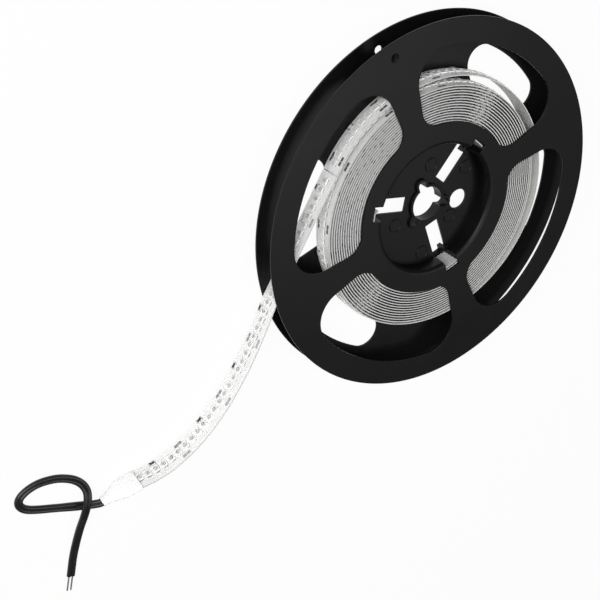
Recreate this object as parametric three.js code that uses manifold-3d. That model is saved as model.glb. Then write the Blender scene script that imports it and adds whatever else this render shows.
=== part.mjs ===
// A two-part plastic reel that holds a wound roll of flexible LED strip.
// The reel lies flat on its rear flange. The free end of the strip stands on its edge, curves away
// from the rim and ends in a shrunk sleeve, from which a short two-core lead comes out.
// Units are millimetres, +Z runs along the reel's axis, and the spokes lie along X and Y.

import * as THREE from 'three';
import { mergeVertices } from 'three/addons/utils/BufferGeometryUtils.js';
import Module from 'manifold-3d';

const wasm = await Module();
wasm.setup();

// Strip, as wound and as it lies free
const stripWidth = 10;
const stripThickness = 0.5;
const turnPitch = 1.2416;
const woundTurns = 19.22;
const hubToStrip = 0.3;
// How far the last turn stands off the wound turns
const looseTurnGap = 4;
// Share of the loose turn along which it swells from the tight coil to its full radius
const looseSwellShare = 0.42;

// Flanges
const flangeRadius = 89;
const flangeThickness = 1;
const sideClearance = 0.3;
const seatGap = 0.3;

// Windows of the front flange, four alike between four spokes
const frontWindowCount = 4;
const frontWindowInnerRadius = 41.6;
const frontRimWidth = 12;
const frontWindowHalfAngle = THREE.MathUtils.degToRad(38.2);
const frontWindowOuterFillet = 14;
const frontWindowInnerFillet = 9;

// Windows of the rear flange, two on each side of a closed band
const rearBandHalfWidth = 41;
const rearSpokeHalfWidth = 12;
const rearRimWidth = 13.4;
const rearWindowFillet = 8;

// Small hole near the rim of both flanges
const rimHoleRadius = 1.9;
const rimHoleInset = 7;
const rimHoleAngle = THREE.MathUtils.degToRad(-90);

// Hub: a cup under the recess, and close round it the drum that the strip is wound on
const recessRadius = 30.8;
const hubWall = 1.4;
const cupToDrum = 0.3;
const lipRadius = 1.8;
const webThickness = 1.2;
const webDepth = 8.1;

// Arbor boss: a wall round the bore and its three round-ended keyways
const boreRadius = 8.2;
const keywayCount = 3;
const keywayWidth = 4;
const keywayReach = 12.2;
const keywayFirstAngle = THREE.MathUtils.degToRad(30);
const bossWall = 1.3;
const bossRise = 1.5;
const bossDrop = 3;

// Radial slots for the end of the strip, each with a snap finger at one side
const slotCount = 3;
const slotWidth = 7.2;
const slotInnerRadius = 12.2;
const slotFirstAngle = THREE.MathUtils.degToRad(90);
// How far a slot cuts on through the cup's wall
const notchDepth = 5.2;
const fingerSides = [1, -1, -1];
const fingerWidth = 2;
const fingerDepth = 1.8;
const fingerHook = 1.1;
const fingerHookHeight = 1;
const fingerFootHeight = 1.8;

// Marks and the round hole of the hub's web
const webHoleRadius = 4.8;
const webHoleCentreRadius = 19.3;
const webHoleAngle = THREE.MathUtils.degToRad(151);
const markRadius = 3.5;
const markHeight = 0.3;
const markCount = 3;
const innerMarkCentreRadius = 18.3;
const innerMarkFirstAngle = THREE.MathUtils.degToRad(4);
const outerMarkInset = 5.2;
const outerMarkFirstAngle = THREE.MathUtils.degToRad(69);

// Strip's inner end, tucked into the drum at the last slot
const innerEndOffset = 1.2;
const innerEndBend = 1.2;

// Parts soldered on the strip
const ledPitch = 4.1667;
const ledsPerSection = 7;
// The strip is cut between two sections, so its free end is where a section ends
const sectionLength = ledsPerSection * ledPitch;
const ledLength = 2.8;
const ledWidth = 3.5;
const ledHeight = 0.75;
const ledRowOffset = -0.4;
const resistorLength = 3.1;
const resistorWidth = 1.6;
const resistorHeight = 0.6;
const resistorRowOffset = -3.6;
const solderGap = 0.15;

// Sleeve, lead and its bare ends
const leadWidth = 3.9;
const leadThickness = 2.1;
const sleeveWall = 0.3;
const sleeveOverlap = 4.7;
const sleeveWideInner = new THREE.Vector2(10.5, 3);
const sleeveNarrowInner = new THREE.Vector2(4.6, 2.8);
// Share of the sleeve's length after which it narrows on to the lead
const sleeveTaperFrom = 0.35;
const wireRadius = 0.4;
const wireSpacing = 1.75;
const wireLength = 8;
const wireJoint = 0.1;
const solderRadius = 0.7;
const solderHeight = 0.45;
const solderSetback = 0.9;
const solderOffset = 3.05;

// Route of the free strip's middle line, from the loose turn out past the rim
const tailRoute = [
  [41.8, -46.2, 6.3],
  [50.6, -38.9, 6.3],
  [59.5, -31.4, 6.3],
  [68.5, -23.8, 6.3],
  [77.3, -16.2, 6.3],
  [84.6, -9.9, 6.3],
  [90.0, -5.0, 6.2],
  [95.0, 0.2, 6.15],
  [100.7, 5.8, 6.05],
  [106.5, 11.2, 5.9],
  [112.5, 16.2, 5.8],
  [118.8, 20.9, 5.75],
  [125.2, 25.3, 5.7],
  [132.0, 29.2, 5.65],
  [139.0, 32.5, 5.6],
  [146.2, 35.1, 5.55],
  [153.5, 36.8, 5.5],
  [161.0, 37.6, 5.5],
  [168.7, 37.1, 5.5],
  [176.4, 35.4, 5.5],
  [181.0, 34.8, 5.45],
];

// Route of the sleeve beyond the strip's end, then of the lead, which starts inside the sleeve,
// lies on the floor and crosses over itself once
const sleeveRoute = [
  [181.0, 34.8, 5.45],
  [184.5, 34.6, 5.2],
  [188.0, 34.8, 4.8],
  [193.8, 35.4, 4.2],
];
const leadRoute = [
  [182.0, 34.7, 5.4],
  [187.0, 34.7, 4.95],
  [193.8, 35.4, 4.2],
  [196.6, 35.1, 3.1],
  [200.0, 33.6, 2.0],
  [205.7, 29.8, 1.4],
  [212.4, 24.6, 1.35],
  [219.0, 19.4, 1.35],
  [222.5, 15.9, 1.35],
  [223.9, 12.6, 1.35],
  [223.3, 10.0, 1.35],
  [221.0, 8.3, 1.35],
  [216.7, 7.6, 1.35],
  [211.7, 8.4, 1.35],
  [206.2, 11.0, 1.35],
  [202.2, 14.2, 1.4],
  [199.0, 18.0, 1.6],
  [197.2, 21.9, 2.3],
  [197.1, 25.4, 3.6],
  [198.6, 28.6, 4.7],
  [200.8, 31.8, 5.1],
  [203.7, 36.2, 4.3],
  [207.7, 42.5, 2.4],
  [211.9, 48.7, 1.5],
  [216.3, 55.0, 1.35],
  [221.4, 63.5, 1.35],
];
const tailLeanEnd = THREE.MathUtils.degToRad(18);
const leadLeanLength = 20;

// Fineness of the faceted solids
const flangeSegments = 88;
const hubSegments = 48;
const boreSegments = 24;
const smallSegments = 16;
const windowSegments = 5;
const coilStepsPerTurn = 36;
const tailStep = 4.5;
const leadStep = 3.2;
const leadSides = 8;
const wireSides = 8;
const sleeveSteps = 8;
const sleeveSides = 16;
const lipSteps = 4;
const innerBendSteps = 4;
const lengthDivisions = 600;

// How far solids that are joined reach into each other, and how near two points count as one
const joinOverlap = 0.5;
const samePoint = 1e-5;

// Levels that follow from the sizes above
const reelWidth = stripWidth + 2 * sideClearance + 2 * flangeThickness;
const rearInnerFace = flangeThickness;
const frontInnerFace = reelWidth - flangeThickness;
const stripBottom = rearInnerFace + sideClearance;
const webTop = reelWidth - webDepth;
const webBottom = webTop - webThickness;
const frontWindowOuterRadius = flangeRadius - frontRimWidth;
const rearWindowOuterRadius = flangeRadius - rearRimWidth;
const rimHoleCentreRadius = flangeRadius - rimHoleInset;
const lipOuterRadius = recessRadius + lipRadius;
const cupOuterRadius = recessRadius + hubWall;
const hubInnerRadius = cupOuterRadius + cupToDrum;
const hubOuterRadius = hubInnerRadius + hubWall;
const notchReach = recessRadius + notchDepth;
const outerMarkCentreRadius = recessRadius - outerMarkInset;
const innerEndRadius = hubInnerRadius + seatGap;
const innerEndAngle = slotFirstAngle + (slotCount - 1) * 2 * Math.PI / slotCount;
const keywayEndRadius = keywayWidth / 2;
const keywayEndCentreRadius = keywayReach - keywayEndRadius;
const innerTurnRadius = hubOuterRadius + hubToStrip + stripThickness / 2;
const coilOuterRadius = innerTurnRadius + woundTurns * turnPitch;
const looseTurnRadius = coilOuterRadius + looseTurnGap;

const blackPlastic = { color: 0x262628, roughness: 0.5, metalness: 0 };
const whiteStrip = { color: 0xe9e9e6, roughness: 0.55, metalness: 0 };
const whiteSleeve = { color: 0xf2f2f0, roughness: 0.45, metalness: 0 };
const leadJacket = { color: 0x4a4a4c, roughness: 0.5, metalness: 0 };
const tinnedCopper = { color: 0xc9c9c6, roughness: 0.35, metalness: 1 };
const ledBody = { color: 0xf4f3ec, roughness: 0.4, metalness: 0 };
const resistorBody = { color: 0x2b2b2b, roughness: 0.5, metalness: 0 };

function toManifold(geometry) {
  const plain = geometry.clone();
  plain.deleteAttribute('normal');
  plain.deleteAttribute('uv');
  const merged = mergeVertices(plain, samePoint);
  return new wasm.Manifold(new wasm.Mesh({
    numProp: 3,
    vertProperties: new Float32Array(merged.attributes.position.array),
    triVerts: new Uint32Array(merged.index.array),
  }));
}

function toGeometry(solid) {
  const mesh = solid.getMesh();
  const geometry = new THREE.BufferGeometry();
  geometry.setAttribute('position', new THREE.BufferAttribute(new Float32Array(mesh.vertProperties), 3));
  geometry.setIndex(new THREE.BufferAttribute(new Uint32Array(mesh.triVerts), 1));
  geometry.computeVertexNormals();
  return geometry;
}

function makeMesh(name, geometry, look) {
  const mesh = new THREE.Mesh(geometry, new THREE.MeshStandardMaterial(look));
  mesh.name = name;
  return mesh;
}

function polar(radius, angle) {
  return new THREE.Vector2(radius * Math.cos(angle), radius * Math.sin(angle));
}

function evenAngles(count, first) {
  return Array.from({ length: count }, (_, index) => first + index * 2 * Math.PI / count);
}

// An upright cylinder between two levels
function pillar(radius, bottom, top, centre = new THREE.Vector2(), segments = smallSegments) {
  const geometry = new THREE.CylinderGeometry(radius, radius, top - bottom, segments);
  geometry.rotateX(Math.PI / 2);
  geometry.translate(centre.x, centre.y, (bottom + top) / 2);
  return toManifold(geometry);
}

// A block that lies along a radius: from one radius to another, between two sideways offsets
function radialBlock(angle, innerRadius, outerRadius, sideFrom, sideTo, bottom, top) {
  const geometry = new THREE.BoxGeometry(outerRadius - innerRadius, sideTo - sideFrom, top - bottom);
  geometry.translate((innerRadius + outerRadius) / 2, (sideFrom + sideTo) / 2, (bottom + top) / 2);
  geometry.rotateZ(angle);
  return toManifold(geometry);
}

function lathe(profile, segments) {
  const geometry = new THREE.LatheGeometry(profile, segments);
  geometry.rotateX(Math.PI / 2);
  return toManifold(geometry);
}

// A point of a turned profile, given by its radius and its height on the axis.
// The lathe turns about Y and is then laid over, which sends its Y to +Z.
function profilePoint(radius, height) {
  return new THREE.Vector2(radius, height);
}

// Outline of one front window: two arcs about the axis, joined at both ends with filleted corners
function frontWindowOutline(middleAngle) {
  const outerFilletCentreRadius = frontWindowOuterRadius - frontWindowOuterFillet;
  const innerFilletCentreRadius = frontWindowInnerRadius + frontWindowInnerFillet;
  const outerInset = Math.asin(frontWindowOuterFillet / outerFilletCentreRadius);
  const innerInset = Math.asin(frontWindowInnerFillet / innerFilletCentreRadius);
  const start = middleAngle - frontWindowHalfAngle;
  const end = middleAngle + frontWindowHalfAngle;
  const quarter = Math.PI / 2;
  const outline = new THREE.Path();
  outline.absarc(0, 0, frontWindowOuterRadius, start + outerInset, end - outerInset, false);
  const outerEnd = polar(outerFilletCentreRadius, end - outerInset);
  outline.absarc(outerEnd.x, outerEnd.y, frontWindowOuterFillet, end - outerInset, end + quarter, false);
  const innerEnd = polar(innerFilletCentreRadius, end - innerInset);
  outline.absarc(innerEnd.x, innerEnd.y, frontWindowInnerFillet, end + quarter, end - innerInset + Math.PI, false);
  outline.absarc(0, 0, frontWindowInnerRadius, end - innerInset, start + innerInset, true);
  const innerStart = polar(innerFilletCentreRadius, start + innerInset);
  outline.absarc(
    innerStart.x, innerStart.y, frontWindowInnerFillet, start + innerInset + Math.PI, start - quarter, false,
  );
  const outerStart = polar(outerFilletCentreRadius, start + outerInset);
  outline.absarc(outerStart.x, outerStart.y, frontWindowOuterFillet, start - quarter, start + outerInset, false);
  return outline;
}

// Outline of one rear window: a side along the spoke, a side along the closed band and an arc between them
function rearWindowOutline(signX, signY) {
  const fillet = rearWindowFillet;
  const filletCentreRadius = rearWindowOuterRadius - fillet;
  const nearX = rearBandHalfWidth + fillet;
  const nearY = rearSpokeHalfWidth + fillet;
  const spokeCorner = new THREE.Vector2(Math.sqrt(filletCentreRadius ** 2 - nearY ** 2), nearY);
  const bandCorner = new THREE.Vector2(nearX, Math.sqrt(filletCentreRadius ** 2 - nearX ** 2));
  const outline = new THREE.Path();
  outline.absarc(nearX, nearY, fillet, Math.PI, 1.5 * Math.PI, false);
  outline.absarc(spokeCorner.x, spokeCorner.y, fillet, -Math.PI / 2, spokeCorner.angle(), false);
  outline.absarc(0, 0, rearWindowOuterRadius, spokeCorner.angle(), bandCorner.angle(), false);
  outline.absarc(bandCorner.x, bandCorner.y, fillet, bandCorner.angle(), Math.PI, false);
  const points = outline.getPoints(windowSegments).map((point) => {
    return new THREE.Vector2(point.x * signX, point.y * signY);
  });
  return new THREE.Path(points);
}

// A flange with its windows, its rim hole and a round opening for the hub
function flangePlate(windowOutlines, openingRadius, bottom) {
  const shape = new THREE.Shape(evenAngles(flangeSegments, 0).map((angle) => polar(flangeRadius, angle)));
  const opening = evenAngles(hubSegments, 0).map((angle) => polar(openingRadius, angle));
  const rimHoleCentre = polar(rimHoleCentreRadius, rimHoleAngle);
  const rimHole = evenAngles(smallSegments, 0).map((angle) => polar(rimHoleRadius, angle).add(rimHoleCentre));
  shape.holes.push(new THREE.Path(opening), new THREE.Path(rimHole), ...windowOutlines);
  const geometry = new THREE.ExtrudeGeometry(shape, {
    depth: flangeThickness,
    bevelEnabled: false,
    curveSegments: windowSegments,
  });
  geometry.translate(0, 0, bottom);
  return toManifold(geometry);
}

// The rounded lip where a flange turns into the hub's wall, as points from the flange to the wall.
// The face is at one level and the wall runs away from it in the given direction.
function lipPoints(face, direction) {
  return Array.from({ length: lipSteps + 1 }, (_, index) => {
    const angle = (index / lipSteps) * Math.PI / 2;
    const radius = recessRadius + lipRadius * (1 - Math.sin(angle));
    return profilePoint(radius, face + direction * lipRadius * (1 - Math.cos(angle)));
  });
}

// An upright body with the outline of the bore and its round-ended keyways, wider by a wall all round
function keyedPillar(wall, bottom, top) {
  const half = keywayWidth / 2 + wall;
  let body = pillar(boreRadius + wall, bottom, top, new THREE.Vector2(), boreSegments);
  for (const angle of evenAngles(keywayCount, keywayFirstAngle)) {
    body = body.add(radialBlock(angle, 0, keywayEndCentreRadius, -half, half, bottom, top));
    body = body.add(pillar(keywayEndRadius + wall, bottom, top, polar(keywayEndCentreRadius, angle)));
  }
  return body;
}

function frontReelHalf() {
  const windows = evenAngles(frontWindowCount, Math.PI / frontWindowCount).map(frontWindowOutline);
  const plate = flangePlate(windows, lipOuterRadius + joinOverlap / 2, frontInnerFace);
  const cup = lathe([
    profilePoint(0, webBottom),
    profilePoint(cupOuterRadius, webBottom),
    profilePoint(cupOuterRadius, frontInnerFace),
    profilePoint(lipOuterRadius + joinOverlap, frontInnerFace),
    profilePoint(lipOuterRadius + joinOverlap, reelWidth),
    ...lipPoints(reelWidth, -1),
    profilePoint(recessRadius, webTop),
    profilePoint(0, webTop),
  ], hubSegments);
  let half = plate.add(cup).add(keyedPillar(bossWall, webBottom - bossDrop, webTop + bossRise));
  for (const angle of evenAngles(markCount, innerMarkFirstAngle)) {
    half = half.add(pillar(markRadius, webBottom, webTop + markHeight, polar(innerMarkCentreRadius, angle)));
  }
  for (const angle of evenAngles(markCount, outerMarkFirstAngle)) {
    half = half.add(pillar(markRadius, webBottom, webTop + markHeight, polar(outerMarkCentreRadius, angle)));
  }
  half = half.subtract(keyedPillar(0, -seatGap, reelWidth + seatGap));
  for (const angle of evenAngles(slotCount, slotFirstAngle)) {
    const top = reelWidth + seatGap;
    half = half.subtract(
      radialBlock(angle, slotInnerRadius, notchReach, -slotWidth / 2, slotWidth / 2, 0, top),
    );
  }
  half = half.subtract(
    pillar(webHoleRadius, 0, reelWidth, polar(webHoleCentreRadius, webHoleAngle)),
  );
  return toGeometry(half);
}

// Two sideways offsets at the finger's side of a slot, in rising order
function atSide(side, from, to) {
  return side > 0 ? [from, to] : [-to, -from];
}

// One snap finger of the rear half. It stands at one side of the slot, on a foot that grows out of the
// collar, and its hook lies over the front half's web.
function snapFinger(angle, side) {
  const outerRadius = recessRadius - 2 * seatGap;
  const innerRadius = outerRadius - fingerDepth;
  const sideTo = slotWidth / 2 - seatGap;
  const post = atSide(side, sideTo - fingerWidth, sideTo);
  const hook = atSide(side, sideTo - seatGap, sideTo + fingerHook);
  const footTop = webBottom - seatGap;
  const hookBottom = webTop + seatGap;
  const hookTop = hookBottom + fingerHookHeight;
  const foot = radialBlock(
    angle, innerRadius, recessRadius + hubWall / 2, ...post, footTop - fingerFootHeight, footTop,
  );
  return foot
    .add(radialBlock(angle, innerRadius, outerRadius, ...post, footTop - seatGap, hookTop))
    .add(radialBlock(angle, innerRadius, outerRadius, ...hook, hookBottom, hookTop));
}

function rearReelHalf() {
  const windows = [[1, 1], [-1, 1], [-1, -1], [1, -1]].map(([x, y]) => rearWindowOutline(x, y));
  const plate = flangePlate(windows, lipOuterRadius + joinOverlap / 2, 0);
  const collarTop = webBottom - seatGap;
  const collar = lathe([
    profilePoint(lipOuterRadius, 0),
    profilePoint(hubOuterRadius - joinOverlap, 0),
    profilePoint(hubOuterRadius - joinOverlap, collarTop),
    profilePoint(recessRadius, collarTop),
    ...lipPoints(0, 1).reverse(),
  ], hubSegments);
  const drumTop = frontInnerFace - seatGap;
  const drum = lathe([
    profilePoint(hubInnerRadius, 0),
    profilePoint(hubOuterRadius, 0),
    profilePoint(hubOuterRadius, drumTop),
    profilePoint(hubInnerRadius, drumTop),
    profilePoint(hubInnerRadius, 0),
  ], hubSegments);
  let half = plate.add(collar).add(drum);
  evenAngles(slotCount, slotFirstAngle).forEach((angle, index) => {
    const side = fingerSides[index];
    const besideFinger = atSide(side, -slotWidth / 2, slotWidth / 2 - seatGap - fingerWidth);
    const collarSlit = radialBlock(
      angle, recessRadius - hubWall, hubInnerRadius, ...besideFinger, flangeThickness, reelWidth,
    );
    const drumSlit = radialBlock(
      angle, hubInnerRadius - seatGap, hubOuterRadius + hubWall, -slotWidth / 2, slotWidth / 2,
      flangeThickness, reelWidth,
    );
    half = half.subtract(collarSlit).subtract(drumSlit).add(snapFinger(angle, side));
  });
  return toGeometry(half);
}

// Middle line of the wound strip: out of the drum's slit, round a small bend, then outwards turn by
// turn, and last the loose outer turn. The slit's points have X sideways and Y outwards before they turn.
function coilMiddleLine() {
  const bendY = innerTurnRadius - innerEndBend;
  const line = [new THREE.Vector2(innerEndOffset, innerEndRadius), new THREE.Vector2(innerEndOffset, bendY)];
  for (let step = 1; step < innerBendSteps; step += 1) {
    const angle = (step / innerBendSteps) * Math.PI / 2;
    line.push(new THREE.Vector2(
      innerEndOffset - innerEndBend * (1 - Math.cos(angle)),
      bendY + innerEndBend * Math.sin(angle),
    ));
  }
  const centre = new THREE.Vector2();
  line.forEach((point) => point.rotateAround(centre, innerEndAngle - Math.PI / 2));
  const startAngle = innerEndAngle + Math.asin(innerEndBend / innerTurnRadius);
  const turnStep = 2 * Math.PI / coilStepsPerTurn;
  const woundAngle = woundTurns * 2 * Math.PI;
  for (let turned = 0; turned < woundAngle; turned += turnStep) {
    const radius = innerTurnRadius + turnPitch * turned / (2 * Math.PI);
    line.push(polar(radius, startAngle + turned));
  }
  const looseStart = startAngle + woundAngle;
  const looseEnd = looseStart + looseTurnAngle();
  const looseSteps = Math.ceil((looseEnd - looseStart) / turnStep);
  for (let step = 0; step <= looseSteps; step += 1) {
    const share = step / looseSteps;
    const swell = THREE.MathUtils.smoothstep(share, 0, looseSwellShare);
    const radius = THREE.MathUtils.lerp(coilOuterRadius, looseTurnRadius, swell);
    line.push(polar(radius, looseStart + share * (looseEnd - looseStart)));
  }
  return line;
}

// The loose turn stops just short of the first point of the free strip's route
function looseTurnAngle() {
  const startAngle = innerEndAngle + Math.asin(innerEndBend / innerTurnRadius);
  const wound = startAngle + woundTurns * 2 * Math.PI;
  const [tailX, tailY] = tailRoute[0];
  const stopAngle = Math.atan2(tailY, tailX) - seatGap / looseTurnRadius;
  const fullTurn = 2 * Math.PI;
  return ((stopAngle - wound) % fullTurn + fullTurn) % fullTurn;
}

function stripRoll() {
  const line = coilMiddleLine();
  const half = stripThickness / 2;
  const side = (sign) => line.map((point, index) => {
    const before = line[Math.max(index - 1, 0)];
    const after = line[Math.min(index + 1, line.length - 1)];
    const along = after.clone().sub(before).normalize();
    return new THREE.Vector2(point.x + sign * half * along.y, point.y - sign * half * along.x);
  });
  const shape = new THREE.Shape([...side(1), ...side(-1).reverse()]);
  const geometry = new THREE.ExtrudeGeometry(shape, { depth: stripWidth, bevelEnabled: false });
  geometry.translate(0, 0, stripBottom);
  return toGeometry(toManifold(geometry));
}

// A smooth line through chosen points, with the frame of a flat strip at any distance along it.
// The lean is the angle by which the strip's width is tipped over from upright.
class StripPath {
  constructor(points, leanAt) {
    this.curve = new THREE.CatmullRomCurve3(points.map((point) => new THREE.Vector3(...point)));
    this.curve.arcLengthDivisions = lengthDivisions;
    this.length = this.curve.getLength();
    this.leanAt = leanAt;
  }

  frame(distance) {
    const share = THREE.MathUtils.clamp(distance / this.length, 0, 1);
    const centre = this.curve.getPointAt(share);
    const along = this.curve.getTangentAt(share);
    const outward = new THREE.Vector3(along.y, -along.x, 0).normalize();
    const upright = new THREE.Vector3().crossVectors(outward, along).normalize();
    const lean = this.leanAt(distance, this.length);
    const across = upright.clone().multiplyScalar(Math.cos(lean)).addScaledVector(outward, -Math.sin(lean));
    const face = outward.clone().multiplyScalar(Math.cos(lean)).addScaledVector(upright, Math.sin(lean));
    return { centre, along, across, face };
  }

  // Carries a straight extrusion, whose X is across, Y is along the face's normal and Z runs from 0 to 1,
  // on to the path between two distances
  bend(geometry, from, to, sizeAt = () => [1, 1]) {
    const position = geometry.attributes.position;
    for (let index = 0; index < position.count; index += 1) {
      const share = position.getZ(index);
      const { centre, across, face } = this.frame(from + share * (to - from));
      const [scaleAcross, scaleFace] = sizeAt(share);
      centre.addScaledVector(across, position.getX(index) * scaleAcross);
      centre.addScaledVector(face, position.getY(index) * scaleFace);
      position.setXYZ(index, centre.x, centre.y, centre.z);
    }
    return geometry;
  }
}

function sectionExtrusion(outline, steps) {
  return new THREE.ExtrudeGeometry(new THREE.Shape(outline), { depth: 1, steps, bevelEnabled: false });
}

function flatSection(width, thickness) {
  const x = width / 2;
  const y = thickness / 2;
  return [[-x, -y], [x, -y], [x, y], [-x, y]].map(([a, b]) => new THREE.Vector2(a, b));
}

function ovalSection(width, thickness, sides) {
  return evenAngles(sides, Math.PI / sides).map((angle) => {
    return new THREE.Vector2(width / 2 * Math.cos(angle), thickness / 2 * Math.sin(angle));
  });
}

// The strip stands upright inside the reel and tips over little by little outside it
function tailLean(distance, length) {
  const start = Math.max(0, flangeRadius - looseTurnRadius);
  return tailLeanEnd * THREE.MathUtils.smoothstep(distance, start, length);
}

// The lead leaves the sleeve with its two cores one above the other and turns to lie flat
function leadLean(distance) {
  const turned = THREE.MathUtils.smoothstep(distance - sleevePath.length, 0, leadLeanLength);
  return THREE.MathUtils.lerp(tailLeanEnd, Math.PI / 2, turned);
}

const tailPath = new StripPath(tailRoute, tailLean);
const sleevePath = new StripPath(sleeveRoute, () => tailLeanEnd);
const leadPath = new StripPath(leadRoute, leadLean);

function stripTail() {
  const steps = Math.round(tailPath.length / tailStep);
  return tailPath.bend(
    sectionExtrusion(flatSection(stripWidth, stripThickness), steps), 0, tailPath.length,
  );
}

// A small box soldered on the strip's face, centred at a distance along the path
function stripComponent(path, distance, offset, length, width, height) {
  const { centre, along, across, face } = path.frame(distance);
  const geometry = new THREE.BoxGeometry(width, height, length);
  geometry.translate(offset, stripThickness / 2 + solderGap + height / 2, 0);
  geometry.applyMatrix4(new THREE.Matrix4().makeBasis(across, face, along));
  geometry.translate(centre.x, centre.y, centre.z);
  return geometry;
}

// LEDs are counted from the strip's free end, and each section has its resistor beside its middle LED
function componentMeshes() {
  const meshes = [];
  const ledCount = Math.floor(tailPath.length / ledPitch);
  for (let index = 0; index < ledCount; index += 1) {
    const distance = tailPath.length - (index + 0.5) * ledPitch;
    const number = String(index + 1).padStart(2, '0');
    meshes.push(makeMesh(
      `led_${number}`,
      stripComponent(tailPath, distance, ledRowOffset, ledLength, ledWidth, ledHeight),
      ledBody,
    ));
  }
  const resistorCount = Math.round(tailPath.length / sectionLength);
  for (let index = 0; index < resistorCount; index += 1) {
    const distance = tailPath.length - (index + 0.5) * sectionLength;
    meshes.push(makeMesh(
      `resistor_${index + 1}`,
      stripComponent(tailPath, distance, resistorRowOffset, resistorLength, resistorWidth, resistorHeight),
      resistorBody,
    ));
  }
  return meshes;
}

// Shrunk sleeve: oval over the strip's end, narrowing on to the lead
function sleeve() {
  const sectionWith = (extra) => (share) => {
    const ease = THREE.MathUtils.smoothstep(share, sleeveTaperFrom, 1);
    return [
      THREE.MathUtils.lerp(sleeveWideInner.x, sleeveNarrowInner.x, ease) + extra,
      THREE.MathUtils.lerp(sleeveWideInner.y, sleeveNarrowInner.y, ease) + extra,
    ];
  };
  const body = (from, to, extra) => {
    const straight = sectionExtrusion(ovalSection(1, 1, sleeveSides), sleeveSteps);
    return toManifold(bendAlongSleeve(straight, from, to, sectionWith(extra)));
  };
  const outer = body(-sleeveOverlap, sleevePath.length, 2 * sleeveWall);
  const inner = body(-sleeveOverlap - seatGap, sleevePath.length + seatGap, 0);
  return toGeometry(outer.subtract(inner));
}

// The sleeve starts on the strip and runs on to its own route: distances below zero lie on the strip
function bendAlongSleeve(geometry, from, to, sizeAt) {
  const position = geometry.attributes.position;
  for (let index = 0; index < position.count; index += 1) {
    const share = position.getZ(index);
    const distance = from + share * (to - from);
    const onStrip = distance < 0;
    const path = onStrip ? tailPath : sleevePath;
    const place = onStrip ? tailPath.length + distance : Math.min(distance, sleevePath.length);
    const { centre, along, across, face } = path.frame(place);
    const past = onStrip ? 0 : distance - place;
    const [sizeAcross, sizeFace] = sizeAt(share);
    centre.addScaledVector(along, past);
    centre.addScaledVector(across, position.getX(index) * sizeAcross);
    centre.addScaledVector(face, position.getY(index) * sizeFace);
    position.setXYZ(index, centre.x, centre.y, centre.z);
  }
  return geometry;
}

function lead() {
  const steps = Math.round(leadPath.length / leadStep);
  const section = ovalSection(leadWidth, leadThickness, leadSides);
  return leadPath.bend(sectionExtrusion(section, steps), 0, leadPath.length);
}

// One bare tinned end, straight on from the jacket
function bareWire(offset) {
  const { centre, along, across } = leadPath.frame(leadPath.length);
  const geometry = new THREE.CylinderGeometry(wireRadius, wireRadius, wireLength, wireSides);
  geometry.translate(0, wireLength / 2 + wireJoint, 0);
  const turn = new THREE.Quaternion().setFromUnitVectors(new THREE.Vector3(0, 1, 0), along);
  geometry.applyQuaternion(turn);
  centre.addScaledVector(across, offset);
  geometry.translate(centre.x, centre.y, centre.z);
  return geometry;
}

// A round solder joint on the strip's end, under the sleeve
function solderJoint(offset) {
  const { centre, across, face } = tailPath.frame(tailPath.length - solderSetback);
  const geometry = new THREE.CylinderGeometry(solderRadius, solderRadius, solderHeight, wireSides);
  geometry.translate(0, stripThickness / 2 + solderGap + solderHeight / 2, 0);
  const turn = new THREE.Quaternion().setFromUnitVectors(new THREE.Vector3(0, 1, 0), face);
  geometry.applyQuaternion(turn);
  centre.addScaledVector(across, offset);
  geometry.translate(centre.x, centre.y, centre.z);
  return geometry;
}

const reel = new THREE.Group();
reel.add(
  makeMesh('rear_reel_half', rearReelHalf(), blackPlastic),
  makeMesh('front_reel_half', frontReelHalf(), blackPlastic),
  makeMesh('strip_roll', stripRoll(), whiteStrip),
  makeMesh('strip_tail', stripTail(), whiteStrip),
  ...componentMeshes(),
  makeMesh('shrink_sleeve', sleeve(), whiteSleeve),
  makeMesh('lead_cable', lead(), leadJacket),
  makeMesh('bare_wire_1', bareWire(-wireSpacing / 2), tinnedCopper),
  makeMesh('bare_wire_2', bareWire(wireSpacing / 2), tinnedCopper),
  makeMesh('solder_joint_1', solderJoint(-solderOffset), tinnedCopper),
  makeMesh('solder_joint_2', solderJoint(solderOffset), tinnedCopper),
);

export default reel;
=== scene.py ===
"""A reel of LED strip, finished around its solid frame: two moulded halves, the wound strip with its LEDs,
the free end with its sleeve, and the short two-core lead."""

import math
from bisect import bisect_right

import bmesh
import bpy
from mathutils import Matrix, Vector
from mathutils.geometry import interpolate_bezier


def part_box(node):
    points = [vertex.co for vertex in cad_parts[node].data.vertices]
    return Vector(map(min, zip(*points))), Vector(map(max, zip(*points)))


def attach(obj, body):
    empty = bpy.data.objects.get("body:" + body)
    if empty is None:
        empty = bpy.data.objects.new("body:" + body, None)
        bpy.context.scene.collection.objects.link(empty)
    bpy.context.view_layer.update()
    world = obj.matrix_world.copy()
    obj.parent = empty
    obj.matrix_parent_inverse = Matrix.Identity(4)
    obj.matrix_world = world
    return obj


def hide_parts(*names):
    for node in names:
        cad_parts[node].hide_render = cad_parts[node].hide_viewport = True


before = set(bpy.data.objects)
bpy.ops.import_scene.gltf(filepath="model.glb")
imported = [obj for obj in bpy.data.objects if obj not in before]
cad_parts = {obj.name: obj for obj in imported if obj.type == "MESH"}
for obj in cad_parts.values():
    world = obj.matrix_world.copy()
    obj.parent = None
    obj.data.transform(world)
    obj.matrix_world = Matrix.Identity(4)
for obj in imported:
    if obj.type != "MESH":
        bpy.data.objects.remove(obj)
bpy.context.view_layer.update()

bl_info = {
    "name": "LED Strip Reel",
    "version": (1, 0, 0),
    "blender": (4, 5, 0),
    "location": "View3D > Sidebar > LED Reel",
    "description": "Makes the finished pieces and materials of a reel of LED strip",
    "category": "Add Mesh",
}

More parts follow.
